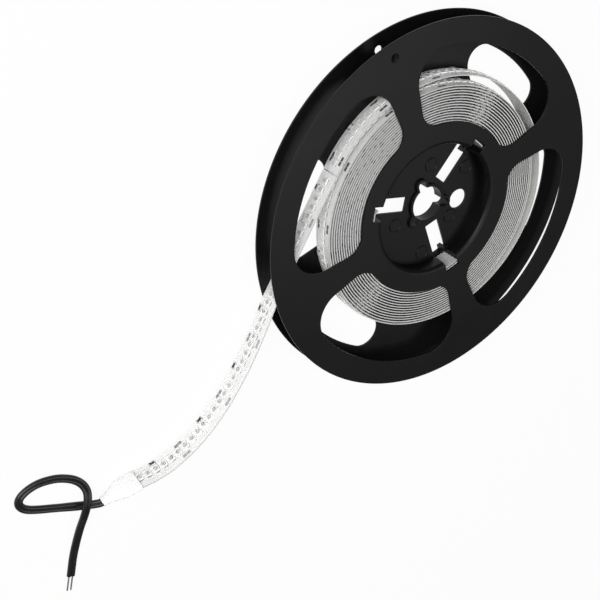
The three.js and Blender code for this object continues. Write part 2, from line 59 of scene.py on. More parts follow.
MM = 0.001
TURN = 2 * math.pi
QUARTER = math.pi / 2

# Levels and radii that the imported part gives
FLANGE_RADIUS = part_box("rear_reel_half")[1].x
REEL_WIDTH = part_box("front_reel_half")[1].z
WEB_LEVEL_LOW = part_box("front_reel_half")[0].z
STRIP_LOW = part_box("strip_roll")[0].z
STRIP_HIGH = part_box("strip_roll")[1].z
DRUM_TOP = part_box("rear_reel_half")[1].z
LED_NODES = sorted(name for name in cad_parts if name.startswith("led_"))
RESISTOR_NODES = sorted(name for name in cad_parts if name.startswith("resistor_"))
SOLDER_NODES = sorted(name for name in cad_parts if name.startswith("solder_joint_"))

# Route of the free strip's middle line, in millimetres
TAIL_ROUTE = [
    (41.8, -46.2, 6.3), (50.6, -38.9, 6.3), (59.5, -31.4, 6.3), (68.5, -23.8, 6.3), (77.3, -16.2, 6.3),
    (84.6, -9.9, 6.3), (90.0, -5.0, 6.2), (95.0, 0.2, 6.15), (100.7, 5.8, 6.05), (106.5, 11.2, 5.9),
    (112.5, 16.2, 5.8), (118.8, 20.9, 5.75), (125.2, 25.3, 5.7), (132.0, 29.2, 5.65), (139.0, 32.5, 5.6),
    (146.2, 35.1, 5.55), (153.5, 36.8, 5.5), (161.0, 37.6, 5.5), (168.7, 37.1, 5.5), (176.4, 35.4, 5.5),
    (181.0, 34.8, 5.45),
]

# Route of the sleeve beyond the strip's end, then of the lead, which starts inside the sleeve
SLEEVE_ROUTE = [(181.0, 34.8, 5.45), (184.5, 34.6, 5.2), (188.0, 34.8, 4.8), (193.8, 35.4, 4.2)]
LEAD_ROUTE = [
    (182.0, 34.7, 5.4), (187.0, 34.7, 4.95), (193.8, 35.4, 4.2), (196.6, 35.1, 3.1), (200.0, 33.6, 2.0),
    (205.7, 29.8, 1.4), (212.4, 24.6, 1.35), (219.0, 19.4, 1.35), (222.5, 15.9, 1.35), (223.9, 12.6, 1.35),
    (223.3, 10.0, 1.35), (221.0, 8.3, 1.35), (216.7, 7.6, 1.35), (211.7, 8.4, 1.35), (206.2, 11.0, 1.35),
    (202.2, 14.2, 1.4), (199.0, 18.0, 1.6), (197.2, 21.9, 2.3), (197.1, 25.4, 3.6), (198.6, 28.6, 4.7),
    (200.8, 31.8, 5.1), (203.7, 36.2, 4.3), (207.7, 42.5, 2.4), (211.9, 48.7, 1.5), (216.3, 55.0, 1.35),
    (221.4, 63.5, 1.35),
]
TAIL_LEAN = math.radians(18)
TAIL_LEAN_START = 26.7 * MM
LEAD_LEAN_LENGTH = 20 * MM


def length(name, description, millimetres, low=0.0):
    """A length that a user may change, given here in millimetres."""
    return bpy.props.FloatProperty(
        name=name, description=description, default=millimetres * MM, min=low * MM, precision=5,
        unit="LENGTH", subtype="DISTANCE",
    )


def colour(name, description, value):
    """A colour that a user may change, as linear red, green and blue."""
    return bpy.props.FloatVectorProperty(
        name=name, description=description, default=value, min=0.0, max=1.0, size=3, subtype="COLOR",
    )


def turning(name, description, degrees):
    """An angle that a user may change, given here in degrees."""
    return bpy.props.FloatProperty(
        name=name, description=description, default=math.radians(degrees), unit="ROTATION", subtype="ANGLE",
    )


class ReelSizes(bpy.types.PropertyGroup):
    """Sizes of the two moulded halves."""

    flange_thickness: length("Flange thickness", "Thickness of both flanges", 1)
    edge: length("Edge radius", "Rounding of the moulded edges", 0.22)
    front_window_inner: length("Front window, inner", "Radius of the front windows' inner side", 41.6)
    front_rim: length("Front rim", "Width of the front flange outside its windows", 12)
    front_window_half: turning("Front window, half angle", "Half the angle of a front window", 38.2)
    front_fillet_outer: length("Front fillet, outer", "Fillet at a front window's outer corners", 14)
    front_fillet_inner: length("Front fillet, inner", "Fillet at a front window's inner corners", 9)
    rear_band: length("Rear band", "Half the width of the rear flange's closed band", 41)
    rear_spoke: length("Rear spoke", "Half the width of the rear flange's spokes", 12)
    rear_rim: length("Rear rim", "Width of the rear flange outside its windows", 13.4)
    rear_fillet: length("Rear fillet", "Fillet at the rear windows' corners", 8)
    rim_hole: length("Rim hole", "Radius of the small hole near the rim", 1.9)
    rim_hole_inset: length("Rim hole inset", "From the rim to the small hole's centre", 7)
    recess: length("Recess", "Radius of the hub's recess", 30.8)
    hub_wall: length("Hub wall", "Thickness of the hub's walls", 1.4)
    cup_to_drum: length("Cup to drum", "Clear width between the cup and the drum", 0.3)
    lip: length("Lip", "Radius of the rounded lip of the recess", 1.8)
    web: length("Web", "Thickness of the web across the hub", 1.2)
    web_depth: length("Web depth", "From the front face down to the web", 8.1)
    bore: length("Bore", "Radius of the arbor bore", 8.2)
    keyway_half: length("Keyway", "Half the width of a round-ended keyway", 2)
    keyway_reach: length("Keyway reach", "Radius at which a keyway ends", 12.2)
    boss_wall: length("Boss wall", "Thickness of the boss round the bore and the keyways", 1.3)
    boss_rise: length("Boss rise", "Height of the boss over the web", 1.5)
    boss_drop: length("Boss drop", "Depth of the boss under the web", 3)
    slot_half: length("Slot", "Half the width of a slot", 3.6)
    slot_start: length("Slot start", "Radius at which a slot starts", 12.2)
    notch: length("Notch", "How far a slot cuts on past the recess", 5.2)
    web_hole: length("Web hole", "Radius of the round hole in the web", 4.8)
    web_hole_place: length("Web hole place", "Radius at which that hole is centred", 19.3)
    mark: length("Mark", "Radius of the round marks on the web", 3.5)
    mark_height: length("Mark height", "Height of the round marks", 0.45)
    clearance: length("Clearance", "Gap between the two halves", 0.3)


class StripSizes(bpy.types.PropertyGroup):
    """Sizes of the strip, its parts, its winding, the sleeve and the lead."""

    thickness: length("Strip thickness", "Thickness of the flexible circuit", 0.4)
    pitch: length("Turn pitch", "Distance from turn to turn", 1.2416)
    first_turn: length("First turn", "Radius of the first turn's middle line", 34.45)
    loose_gap: length("Loose gap", "How far the last turn stands off the others", 4)
    inner_end: length("Inner end", "Radius at which the strip's inner end stops", 32.8)
    inner_offset: length("Inner offset", "Sideways place of the inner end in its slot", 1.2)
    inner_bend: length("Inner bend", "Bend radius of the inner end", 1.2)
    led_pitch: length("LED pitch", "Distance from LED to LED", 4.1667)
    led_length: length("LED length", "Size of an LED along the strip", 2.8)
    led_width: length("LED width", "Size of an LED across the strip", 3.5)
    led_height: length("LED height", "Height of an LED over the strip", 0.75)
    led_row: length("LED row", "Place of the LEDs across the strip", -0.4, low=-5)
    resistor_length: length("Resistor length", "Size of a resistor along the strip", 3.1)
    resistor_width: length("Resistor width", "Size of a resistor across the strip", 1.6)
    resistor_height: length("Resistor height", "Height of a resistor", 0.6)
    resistor_row: length("Resistor row", "Place of the resistors across the strip", -3.6, low=-5)
    lead_width: length("Lead width", "Width of the two-core lead", 3.9)
    lead_thickness: length("Lead thickness", "Thickness of the two-core lead", 2.1)
    wire_radius: length("Wire radius", "Radius of a bare core", 0.4)
    wire_spacing: length("Wire spacing", "Distance between the two bare cores", 1.75)
    wire_length: length("Wire length", "Length of a bare core", 8)
    sleeve_overlap: length("Sleeve overlap", "How far the sleeve covers the strip", 4.7)
    sleeve_wall: length("Sleeve wall", "Thickness of the shrunk sleeve", 0.3)
    sleeve_width: length("Sleeve width", "Outer width of the sleeve on the strip", 11.1)
    sleeve_depth: length("Sleeve depth", "Outer depth of the sleeve on the strip", 3.6)
    sleeve_end_width: length("Sleeve end width", "Outer width of the sleeve on the lead", 5.2)
    sleeve_end_depth: length("Sleeve end depth", "Outer depth of the sleeve on the lead", 3.4)


class Finishes(bpy.types.PropertyGroup):
    """Colours of the materials."""

    plastic: colour("Reel plastic", "Black plastic of the reel", (0.003, 0.003, 0.0032))
    strip: colour("Strip", "White solder mask of the strip", (0.87, 0.87, 0.865))
    strip_back: colour("Strip back", "Backing of the strip", (0.62, 0.62, 0.6))
    strip_edge: colour("Strip edge", "Cut edge of the strip", (0.78, 0.78, 0.77))
    housing: colour("LED housing", "White housing of the LEDs", (0.9, 0.9, 0.89))
    window: colour("LED window", "Resin window of the LEDs", (0.84, 0.84, 0.81))
    resistor: colour("Resistor", "Glaze of the resistors", (0.035, 0.035, 0.035))
    tin: colour("Tin", "Tinned pads, solder and cores", (0.62, 0.62, 0.61))
    sleeve: colour("Sleeve", "Shrunk white sleeve", (0.95, 0.95, 0.945))
    jacket: colour("Jacket", "Dark jacket of the lead", (0.011, 0.011, 0.0115))
    floor: colour("Floor", "Pale floor", (0.86, 0.86, 0.86))


# How finely the pieces are made
ARC_STEP = math.radians(2.5)
HUB_STEPS = 144
LIP_STEPS = 7
SHARP_ANGLE = math.radians(16)
TURN_STEPS = 120
TAIL_STEP = 1.0 * MM
LEAD_STEP = 0.8 * MM
SLEEVE_SIDES = 40
SLEEVE_STEPS = 36
TINY = 0.03 * MM

# Places round the reel, as angles from the wide spoke
SLOT_ANGLES = [QUARTER + k * TURN / 3 for k in range(3)]
KEYWAY_ANGLES = [math.radians(30) + k * TURN / 3 for k in range(3)]
WINDOW_ANGLES = [math.radians(45) + k * QUARTER for k in range(4)]
WEB_HOLE_ANGLE = math.radians(151)
RIM_HOLE_ANGLE = -QUARTER
MARKS = [(18.3 * MM, math.radians(4)), (25.6 * MM, math.radians(69))]
FINGER_SIDES = (1, -1, -1)
FINGER_WIDTH = 2 * MM
FINGER_DEPTH = 1.8 * MM
FINGER_HOOK = 1.1 * MM
FINGER_HOOK_HEIGHT = 1 * MM
FINGER_FOOT_HEIGHT = 1.8 * MM

# Winding of the strip
WOUND_TURNS = 19.22
LOOSE_SWELL = 0.42
LEDS_PER_SECTION = 7


def sizes():
    return bpy.context.scene.led_reel


def strip_sizes():
    return bpy.context.scene.led_strip


def finishes():
    return bpy.context.scene.led_finishes


def ease(value, low, high):
    """Rises smoothly from 0 at low to 1 at high."""
    share = min(max((value - low) / (high - low), 0.0), 1.0)
    return share * share * (3 - 2 * share)


def polar(radius, angle):
    return Vector((radius * math.cos(angle), radius * math.sin(angle)))


def level(z):
    return Matrix.Translation((0, 0, z))


# Node trees


class Nodes:
    """Adds nodes to one tree and joins them, so that a finish reads as a list of steps."""

    def __init__(self, tree):
        self.tree = tree

    def add(self, kind, **settings):
        node = self.tree.nodes.new(kind)
        for name, value in settings.items():
            setattr(node, name, value)
        return node

    def feed(self, socket, value):
        if isinstance(value, bpy.types.NodeSocket):
            self.tree.links.new(value, socket)
        else:
            socket.default_value = value

    def maths(self, operation, *values, clamp=False):
        node = self.add("ShaderNodeMath", operation=operation, use_clamp=clamp)
        for socket, value in zip(node.inputs, values):
            self.feed(socket, value)
        return node.outputs[0]

    def band(self, position, centre, half, soft=0.08):
        """1 where position lies within half of centre, and 0 elsewhere."""
        away = self.maths("ABSOLUTE", self.maths("SUBTRACT", position, centre))
        inside = self.maths("DIVIDE", self.maths("SUBTRACT", half, away), soft)
        return self.maths("ADD", inside, 0.5, clamp=True)

    def both(self, first, second):
        return self.maths("MINIMUM", first, second)

    def either(self, first, second):
        return self.maths("MAXIMUM", first, second)

    def mix(self, share, first, second):
        node = self.add("ShaderNodeMix", data_type="RGBA")
        self.feed(node.inputs["Factor"], share)
        for name, value in (("A", first), ("B", second)):
            socket = [s for s in node.inputs if s.name == name and s.type == "RGBA"][0]
            self.feed(socket, (*value, 1.0) if isinstance(value, tuple) else value)
        return [s for s in node.outputs if s.type == "RGBA"][0]

    def noise(self, place, scale, detail=3.0, roughness=0.55):
        node = self.add("ShaderNodeTexNoise")
        self.feed(node.inputs["Vector"], place)
        self.feed(node.inputs["Scale"], scale)
        node.inputs["Detail"].default_value = detail
        node.inputs["Roughness"].default_value = roughness
        return node.outputs["Fac"]

    def spread(self, value, low, high, out_low=0.0, out_high=1.0):
        node = self.add("ShaderNodeMapRange")
        for socket, number in zip(node.inputs, (value, low, high, out_low, out_high)):
            self.feed(socket, number)
        return node.outputs[0]

    def group(self, tree, **inputs):
        node = self.add("ShaderNodeGroup", node_tree=tree)
        for name, value in inputs.items():
            self.feed(node.inputs[name.replace("_", " ").capitalize()], value)
        return node


def moulding_marks():
    """Node group: flow marks, fine grain and rubbed streaks of moulded plastic, on Object coordinates."""
    found = bpy.data.node_groups.get("Moulding Marks")
    if found:
        return found
    tree = bpy.data.node_groups.new("Moulding Marks", "ShaderNodeTree")
    for name, start in (("Flow scale", 40.0), ("Grain scale", 2500.0), ("Streak scale", 90.0)):
        socket = tree.interface.new_socket(name, in_out="INPUT", socket_type="NodeSocketFloat")
        socket.default_value = start
    for name in ("Tone", "Rubbed", "Height"):
        tree.interface.new_socket(name, in_out="OUTPUT", socket_type="NodeSocketFloat")
    nodes = Nodes(tree)
    given = nodes.add("NodeGroupInput").outputs
    result = nodes.add("NodeGroupOutput").inputs
    place = nodes.add("ShaderNodeTexCoord").outputs["Object"]
    flow = nodes.noise(place, given["Flow scale"], detail=4.0, roughness=0.6)
    grain = nodes.noise(place, given["Grain scale"], detail=2.0)
    stretch = nodes.add("ShaderNodeMapping")
    nodes.feed(stretch.inputs["Vector"], place)
    stretch.inputs["Rotation"].default_value = (0.0, 0.0, 0.6)
    stretch.inputs["Scale"].default_value = (1.0, 14.0, 1.0)
    streaks = nodes.noise(stretch.outputs[0], given["Streak scale"], detail=5.0, roughness=0.7)
    nodes.feed(result["Tone"], nodes.spread(flow, 0.3, 0.7))
    nodes.feed(result["Rubbed"], nodes.spread(streaks, 0.6, 0.78))
    nodes.feed(result["Height"], nodes.maths("ADD", grain, nodes.maths("MULTIPLY", flow, 0.6)))
    return tree


def finish_title(name):
    """A finish's name in the file, which differs from the plain materials that came with the frame."""
    return name.replace("_", " ").title()


def new_finish(name, roughness, specular=0.5, metallic=0.0, coat=0.0):
    """A material with one Principled shader, and the tools to add nodes to it."""
    material = bpy.data.materials.new(finish_title(name))
    material.use_nodes = True
    nodes = Nodes(material.node_tree)
    shader = material.node_tree.nodes["Principled BSDF"]
    shader.inputs["Roughness"].default_value = roughness
    shader.inputs["Specular IOR Level"].default_value = specular
    shader.inputs["Metallic"].default_value = metallic
    shader.inputs["Coat Weight"].default_value = coat
    return material, nodes, shader


def bump(nodes, shader, height, distance, strength=1.0):
    node = nodes.add("ShaderNodeBump")
    node.inputs["Strength"].default_value = strength
    node.inputs["Distance"].default_value = distance
    nodes.feed(node.inputs["Height"], height)
    nodes.feed(shader.inputs["Normal"], node.outputs[0])


def moulded(name, tone, roughness, specular, flow=40.0, grain=2500.0, depth=0.01, change=0.2, rubbed=0.12):
    """Moulded or extruded plastic: an uneven tone, a fine grain and rubbed streaks that shine differently."""
    material, nodes, shader = new_finish(name, roughness, specular)
    marks = nodes.group(moulding_marks(), flow_scale=flow, grain_scale=grain, streak_scale=90.0).outputs
    dark = tuple(part * (1 - change) for part in tone)
    light = tuple(min(part * (1 + change), 1.0) for part in tone)
    nodes.feed(shader.inputs["Base Color"], nodes.mix(marks["Tone"], dark, light))
    shine = nodes.spread(marks["Tone"], 0.0, 1.0, roughness - 0.04, roughness + 0.05)
    nodes.feed(shader.inputs["Roughness"], nodes.maths("SUBTRACT", shine, nodes.maths(
        "MULTIPLY", marks["Rubbed"], rubbed)))
    bump(nodes, shader, marks["Height"], depth * MM)
    return material


# Print of the strip's face and the painted shade on it, in millimetres along and across the strip

PAD_HALF_LENGTH = 2.05
PAD_HALF_WIDTH = 0.68
PAD_ROWS = (3.15, -3.35)
PAD_SPLIT_HALF = 0.12
CUT_LINE_HALF = 0.08
CUT_DASH_STEP = 0.8
CUT_DASH_HALF = 0.45
LAND_HALF_LENGTH = 1.1
LAND_HALF_WIDTH = 0.22
LAND_ROW = 1.95
SEAT_OUTER_LENGTH = 0.3
SEAT_OUTER_WIDTH = 0.5
SEAT_LINE = 0.13
LINE_ROWS = (2.35, -2.75, 4.3)
LINE_HALF_WIDTH = 0.05
LINE_MIDDLE = 4.6
LINE_HALF_LENGTH = 4.2
TICKS_MIDDLE = 11.0
TICKS_HALF_LENGTH = 2.6
TICKS_ROW = 3.05
TICKS_HALF_WIDTH = 0.3
TICK_STEP = 0.36
TICK_HALF = 0.11
RIM_ROW = 4.9
RIM_HALF_WIDTH = 0.14
DASH_NOISE_SCALE = 0.24
PACKED_SOFTNESS = 20.0


def strip_place(nodes):
    """Distance from the free end and place across, in millimetres, from the strip's own UV map in metres."""
    split = nodes.add("ShaderNodeSeparateXYZ")
    nodes.feed(split.inputs[0], nodes.add("ShaderNodeUVMap", uv_map="UVMap").outputs[0])
    return nodes.maths("DIVIDE", split.outputs["X"], MM), nodes.maths("DIVIDE", split.outputs["Y"], MM)


def packed_turns_for_painted_shade(nodes, along):
    """1 on the turns that lie packed between others, whose gaps get painted shade."""
    low, high = packed_range()
    return nodes.band(along, (low + high) / 2 / MM, (high - low) / 2 / MM, PACKED_SOFTNESS)


def scattered_dashes(nodes, along, share):
    """Short dashes scattered along the strip, over about that share of its length; they mark where the
    painted shade between packed turns is darkest.
    """
    line = nodes.add("ShaderNodeCombineXYZ")
    nodes.feed(line.inputs[0], along)
    patches = nodes.noise(line.outputs[0], DASH_NOISE_SCALE, detail=1.0)
    return nodes.spread(patches, 0.72 - share, 0.75 - share)


def strip_face():
    """Printed side of the strip: mask, pads, lands, thin lines of the circuit and cut lines, with painted
    shade round the LEDs, on the reel's pads and between the packed turns.
    """
    part = strip_sizes()
    tones = finishes()
    material, nodes, shader = new_finish("strip_face", 0.42, 0.45)
    along, across = strip_place(nodes)
    pitch = part.led_pitch / MM
    section = LEDS_PER_SECTION * pitch
    from_cut = nodes.maths("PINGPONG", along, section / 2)
    from_led = nodes.maths("PINGPONG", nodes.maths("SUBTRACT", along, pitch / 2), pitch / 2)
    led_row = part.led_row / MM
    packed = packed_turns_for_painted_shade(nodes, along)

    # Pads on both sides of each cut line, and the line itself
    pads_along = nodes.both(nodes.band(from_cut, 0.0, PAD_HALF_LENGTH), nodes.maths(
        "SUBTRACT", 1.0, nodes.band(from_cut, 0.0, PAD_SPLIT_HALF)))
    pads_across = nodes.either(*(nodes.band(across, row, PAD_HALF_WIDTH) for row in PAD_ROWS))
    pads = nodes.both(pads_along, pads_across)
    dash = nodes.band(nodes.maths("PINGPONG", across, CUT_DASH_STEP), 0.0, CUT_DASH_HALF)
    cut = nodes.both(nodes.band(from_cut, 0.0, CUT_LINE_HALF, 0.05), dash)

    # Bare solder lands at both ends of an LED, and a thin grey ring of painted contact shade round it
    from_row = nodes.maths("ABSOLUTE", nodes.maths("SUBTRACT", across, led_row))
    lands = nodes.both(
        nodes.band(from_led, 0.0, LAND_HALF_LENGTH), nodes.band(from_row, LAND_ROW, LAND_HALF_WIDTH))
    half_length = part.led_length / MM / 2
    half_width = part.led_width / MM / 2
    outer_length = half_length + SEAT_OUTER_LENGTH
    outer_width = half_width + SEAT_OUTER_WIDTH
    outer = nodes.both(nodes.band(from_led, 0.0, outer_length), nodes.band(from_row, 0.0, outer_width))
    inner = nodes.both(
        nodes.band(from_led, 0.0, outer_length - SEAT_LINE),
        nodes.band(from_row, 0.0, outer_width - SEAT_LINE))
    contact_shade_ring = nodes.maths("SUBTRACT", outer, inner, clamp=True)

    # Thin lines of the circuit under the mask, and a row of fine ticks in each section
    lines = nodes.band(across, LINE_ROWS[0], LINE_HALF_WIDTH, 0.06)
    for row in LINE_ROWS[1:]:
        lines = nodes.either(lines, nodes.band(across, row, LINE_HALF_WIDTH, 0.06))
    lines = nodes.both(lines, nodes.band(from_cut, LINE_MIDDLE, LINE_HALF_LENGTH, 0.3))
    ticks = nodes.both(
        nodes.both(
            nodes.band(from_cut, TICKS_MIDDLE, TICKS_HALF_LENGTH, 0.2),
            nodes.band(across, TICKS_ROW, TICKS_HALF_WIDTH, 0.1)),
        nodes.band(nodes.maths("PINGPONG", along, TICK_STEP), 0.0, TICK_HALF, 0.05),
    )
    rim = nodes.band(across, RIM_ROW, RIM_HALF_WIDTH, 0.06)

    place = nodes.add("ShaderNodeTexCoord").outputs["Object"]
    mottle = nodes.noise(place, 700.0, detail=3.0)
    white = tuple(tones.strip)
    tone = nodes.mix(nodes.spread(mottle, 0.35, 0.65), tuple(0.97 * channel for channel in white), white)
    # The grey ring round each LED's seat is painted contact shade.
    tone = nodes.mix(nodes.maths("MULTIPLY", contact_shade_ring, 0.2), tone, (0.3, 0.3, 0.29))
    tone = nodes.mix(nodes.maths("MULTIPLY", lines, 0.22), tone, (0.3, 0.3, 0.3))
    tone = nodes.mix(nodes.maths("MULTIPLY", ticks, 0.5), tone, (0.2, 0.2, 0.2))
    tone = nodes.mix(nodes.maths("MULTIPLY", cut, 0.6), tone, (0.15, 0.15, 0.15))
    tone = nodes.mix(nodes.maths("MULTIPLY", rim, 0.45), tone, (0.2, 0.2, 0.2))
    metal = nodes.either(pads, nodes.maths("MULTIPLY", lands, 0.45))
    worn = nodes.maths(
        "MULTIPLY", nodes.spread(mottle, 0.3, 0.7, 0.8, 1.0), nodes.spread(across, -2, 2, 1.0, 0.75))
    tone = nodes.mix(nodes.maths("MULTIPLY", metal, worn), tone, (0.3, 0.3, 0.295))

    # Painted shade: the pads on the reel are painted near black and lose their metal, as pads look in the
    # shade between turns; their tin is the same as on the free end
    free_length = tail_route().length / MM
    on_reel = nodes.spread(along, free_length, free_length + 1.0)
    painted_shade_pads = nodes.both(pads, on_reel)
    tone = nodes.mix(nodes.maths("MULTIPLY", painted_shade_pads, 0.85), tone, (0.03, 0.03, 0.03))
    # Painted shade: on the packed turns the face below a narrow band at its top edge is painted dark, as the
    # deep gaps between turns look, with darker dashes scattered in it; the real strip is white there
    shade = nodes.mix(scattered_dashes(nodes, along, 0.16), (0.42, 0.42, 0.42), (0.01, 0.01, 0.01))
    tone = nodes.mix(nodes.both(packed, nodes.spread(across, 4.78, 4.55)), tone, shade)
    nodes.feed(shader.inputs["Base Color"], tone)
    nodes.feed(shader.inputs["Metallic"], nodes.maths(
        "MULTIPLY", nodes.maths("SUBTRACT", metal, painted_shade_pads, clamp=True), 0.75))
    nodes.feed(shader.inputs["Roughness"], nodes.spread(metal, 0.0, 1.0, 0.42, 0.36))
    relief = nodes.maths("ADD", nodes.maths("MULTIPLY", metal, 0.6), nodes.maths("MULTIPLY", mottle, 0.25))
    bump(nodes, shader, relief, 0.03 * MM)
    return material


def strip_back():
    """Backing of the strip, with painted shade between packed turns."""
    material, nodes, shader = new_finish("strip_back", 0.5, 0.4)
    along, across = strip_place(nodes)
    place = nodes.add("ShaderNodeTexCoord").outputs["Object"]
    cloud = nodes.noise(place, 300.0)
    plain = tuple(finishes().strip_back)
    tone = nodes.mix(cloud, tuple(0.92 * channel for channel in plain), plain)
    # Painted shade: on the packed turns the backing below a narrow band at its top edge is painted dark, with
    # darker dashes scattered in it.
    shade = nodes.mix(scattered_dashes(nodes, along, 0.15), (0.08, 0.08, 0.08), (0.01, 0.01, 0.01))
    painted_shade_zone = nodes.both(packed_turns_for_painted_shade(nodes, along), nodes.spread(across, 4.8, 4.6))
    tone = nodes.mix(painted_shade_zone, tone, shade)
    nodes.feed(shader.inputs["Base Color"], tone)
    return material


def strip_edge():
    """Cut edge of the strip."""
    material, nodes, shader = new_finish("strip_edge", 0.6, 0.3)
    place = nodes.add("ShaderNodeTexCoord").outputs["Object"]
    cloud = nodes.noise(place, 900.0)
    plain = tuple(finishes().strip_edge)
    tone = nodes.mix(cloud, tuple(0.75 * channel for channel in plain), plain)
    nodes.feed(shader.inputs["Base Color"], tone)
    return material


def tinned():
    """Dull tin with a faint unevenness."""
    material, nodes, shader = new_finish("tinned_copper", 0.34, metallic=1.0)
    marks = nodes.group(moulding_marks(), flow_scale=900.0, grain_scale=6000.0, streak_scale=400.0).outputs
    tone = tuple(finishes().tin)
    darker = tuple(0.8 * part for part in tone)
    nodes.feed(shader.inputs["Base Color"], nodes.mix(marks["Tone"], darker, tone))
    nodes.feed(shader.inputs["Roughness"], nodes.spread(marks["Tone"], 0.0, 1.0, 0.28, 0.45))
    bump(nodes, shader, marks["Height"], 0.01 * MM)
    return material


def led_window():
    """Pale resin over the chips, slightly darker in soft uneven patches."""
    material, nodes, shader = new_finish("led_window", 0.22, 0.5, coat=0.3)
    place = nodes.add("ShaderNodeTexCoord").outputs["Object"]
    cloud = nodes.noise(place, 1500.0, detail=2.0)
    tone = tuple(finishes().window)
    nodes.feed(shader.inputs["Base Color"], nodes.mix(cloud, tuple(0.9 * part for part in tone), tone))
    nodes.feed(shader.inputs["Roughness"], nodes.spread(cloud, 0.3, 0.7, 0.18, 0.3))
    return material


def finish_for(name):
    """The material of that name, made when it is first asked for."""
    tones = finishes()
    makers = {
        "reel_plastic": lambda: moulded(
            "reel_plastic", tuple(tones.plastic), 0.42, 0.26,
            flow=28.0, grain=3200.0, depth=0.012, rubbed=0.1),
        "strip_face": strip_face,
        "strip_back": strip_back,
        "strip_edge": strip_edge,
        "led_housing": lambda: moulded(
            "led_housing", tuple(tones.housing), 0.4, 0.45, flow=500.0, change=0.03),
        "led_window": led_window,
        # This grey finish, on the sloped ring down into an LED's window, is painted shade round the window.
        "led_rim_shade": lambda: moulded("led_rim_shade", (0.52, 0.52, 0.5), 0.5, 0.4, flow=500.0, change=0.05),
        "resistor_glaze": lambda: moulded(
            "resistor_glaze", tuple(tones.resistor), 0.3, 0.5, flow=900.0, change=0.3),
        "tinned_copper": tinned,
        "sleeve_white": lambda: moulded(
            "sleeve_white", tuple(tones.sleeve), 0.42, 0.4,
            flow=220.0, grain=1500.0, depth=0.03, change=0.02),
        "lead_jacket": lambda: moulded(
            "lead_jacket", tuple(tones.jacket), 0.36, 0.45,
            flow=160.0, grain=2600.0, depth=0.015, change=0.25),
    }
    return bpy.data.materials.get(finish_title(name)) or makers[name]()


# Mesh tools


def add_piece(name, shape, material_names, replaced=(), smooth_to=SHARP_ANGLE):
    """Turns a bmesh into a finished object that rides on the reel."""
    mesh = bpy.data.meshes.new(name)
    shape.to_mesh(mesh)
    shape.free()
    for material_name in material_names:
        mesh.materials.append(finish_for(material_name))
    mesh.shade_smooth()
    mesh.set_sharp_from_angle(angle=smooth_to)
    piece = bpy.data.objects.new(name, mesh)
    bpy.context.scene.collection.objects.link(piece)
    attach(piece, "root")
    if replaced:
        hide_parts(*replaced)
    return piece


def take_in(shape, other, matrix=None):
    """Adds another bmesh to this one, moved by a matrix, and frees it."""
    mesh = bpy.data.meshes.new("part")
    other.to_mesh(mesh)
    other.free()
    if matrix is not None:
        mesh.transform(matrix)
    shape.from_mesh(mesh)
    bpy.data.meshes.remove(mesh)


def arc(centre, radius, start, end):
    """Points of an arc, both ends included, with more of them on a longer arc."""
    steps = max(3, math.ceil(abs(end - start) / ARC_STEP))
    return [centre + polar(radius, start + (end - start) * k / steps) for k in range(steps + 1)]


def ring(radius, centre=Vector((0, 0)), steps=HUB_STEPS):
    return [centre + polar(radius, TURN * k / steps) for k in range(steps)]


def notched_ring(radius, angles, half, reach):
    """A circle with straight-sided notches, which go outwards or inwards to a radius."""
    points = []
    inset = math.asin(half / radius)
    for angle, after in zip(angles, angles[1:] + [angles[0] + TURN]):
        turn = Matrix.Rotation(angle, 2)
        points += [turn @ Vector((reach, -half)), turn @ Vector((reach, half))]
        points += arc(Vector((0, 0)), radius, angle + inset, after - inset)
    return points


def front_window(middle):
    """Outline of a front window: two arcs about the axis, joined by filleted ends."""
    size = sizes()
    outer = FLANGE_RADIUS - size.front_rim
    inner = size.front_window_inner
    outer_place = outer - size.front_fillet_outer
    inner_place = inner + size.front_fillet_inner
    outer_inset = math.asin(size.front_fillet_outer / outer_place)
    inner_inset = math.asin(size.front_fillet_inner / inner_place)
    start = middle - size.front_window_half
    end = middle + size.front_window_half
    origin = Vector((0, 0))
    points = arc(origin, outer, start + outer_inset, end - outer_inset)
    points += arc(polar(outer_place, end - outer_inset), size.front_fillet_outer,
                  end - outer_inset, end + QUARTER)[1:]
    points += arc(polar(inner_place, end - inner_inset), size.front_fillet_inner,
                  end + QUARTER, end - inner_inset + math.pi)
    points += arc(origin, inner, end - inner_inset, start + inner_inset)[1:]
    points += arc(polar(inner_place, start + inner_inset), size.front_fillet_inner,
                  start + inner_inset + math.pi, start + 3 * QUARTER)[1:]
    points += arc(polar(outer_place, start + outer_inset), size.front_fillet_outer,
                  start - QUARTER, start + outer_inset)[:-1]
    return points


def rear_window(sign_x, sign_y):
    """Outline of a rear window: a side along the spoke, a side along the band and an arc between them."""
    size = sizes()
    outer = FLANGE_RADIUS - size.rear_rim
    fillet = size.rear_fillet
    place = outer - fillet
    near_x = size.rear_band + fillet
    near_y = size.rear_spoke + fillet
    spoke_corner = Vector((math.sqrt(place ** 2 - near_y ** 2), near_y))
    band_corner = Vector((near_x, math.sqrt(place ** 2 - near_x ** 2)))
    spoke_angle = math.atan2(spoke_corner.y, spoke_corner.x)
    band_angle = math.atan2(band_corner.y, band_corner.x)
    points = arc(Vector((near_x, near_y)), fillet, math.pi, 3 * QUARTER)
    points += arc(spoke_corner, fillet, -QUARTER, spoke_angle)
    points += arc(Vector((0, 0)), outer, spoke_angle, band_angle)[1:-1]
    points += arc(band_corner, fillet, band_angle, math.pi)
    return [Vector((point.x * sign_x, point.y * sign_y)) for point in points]


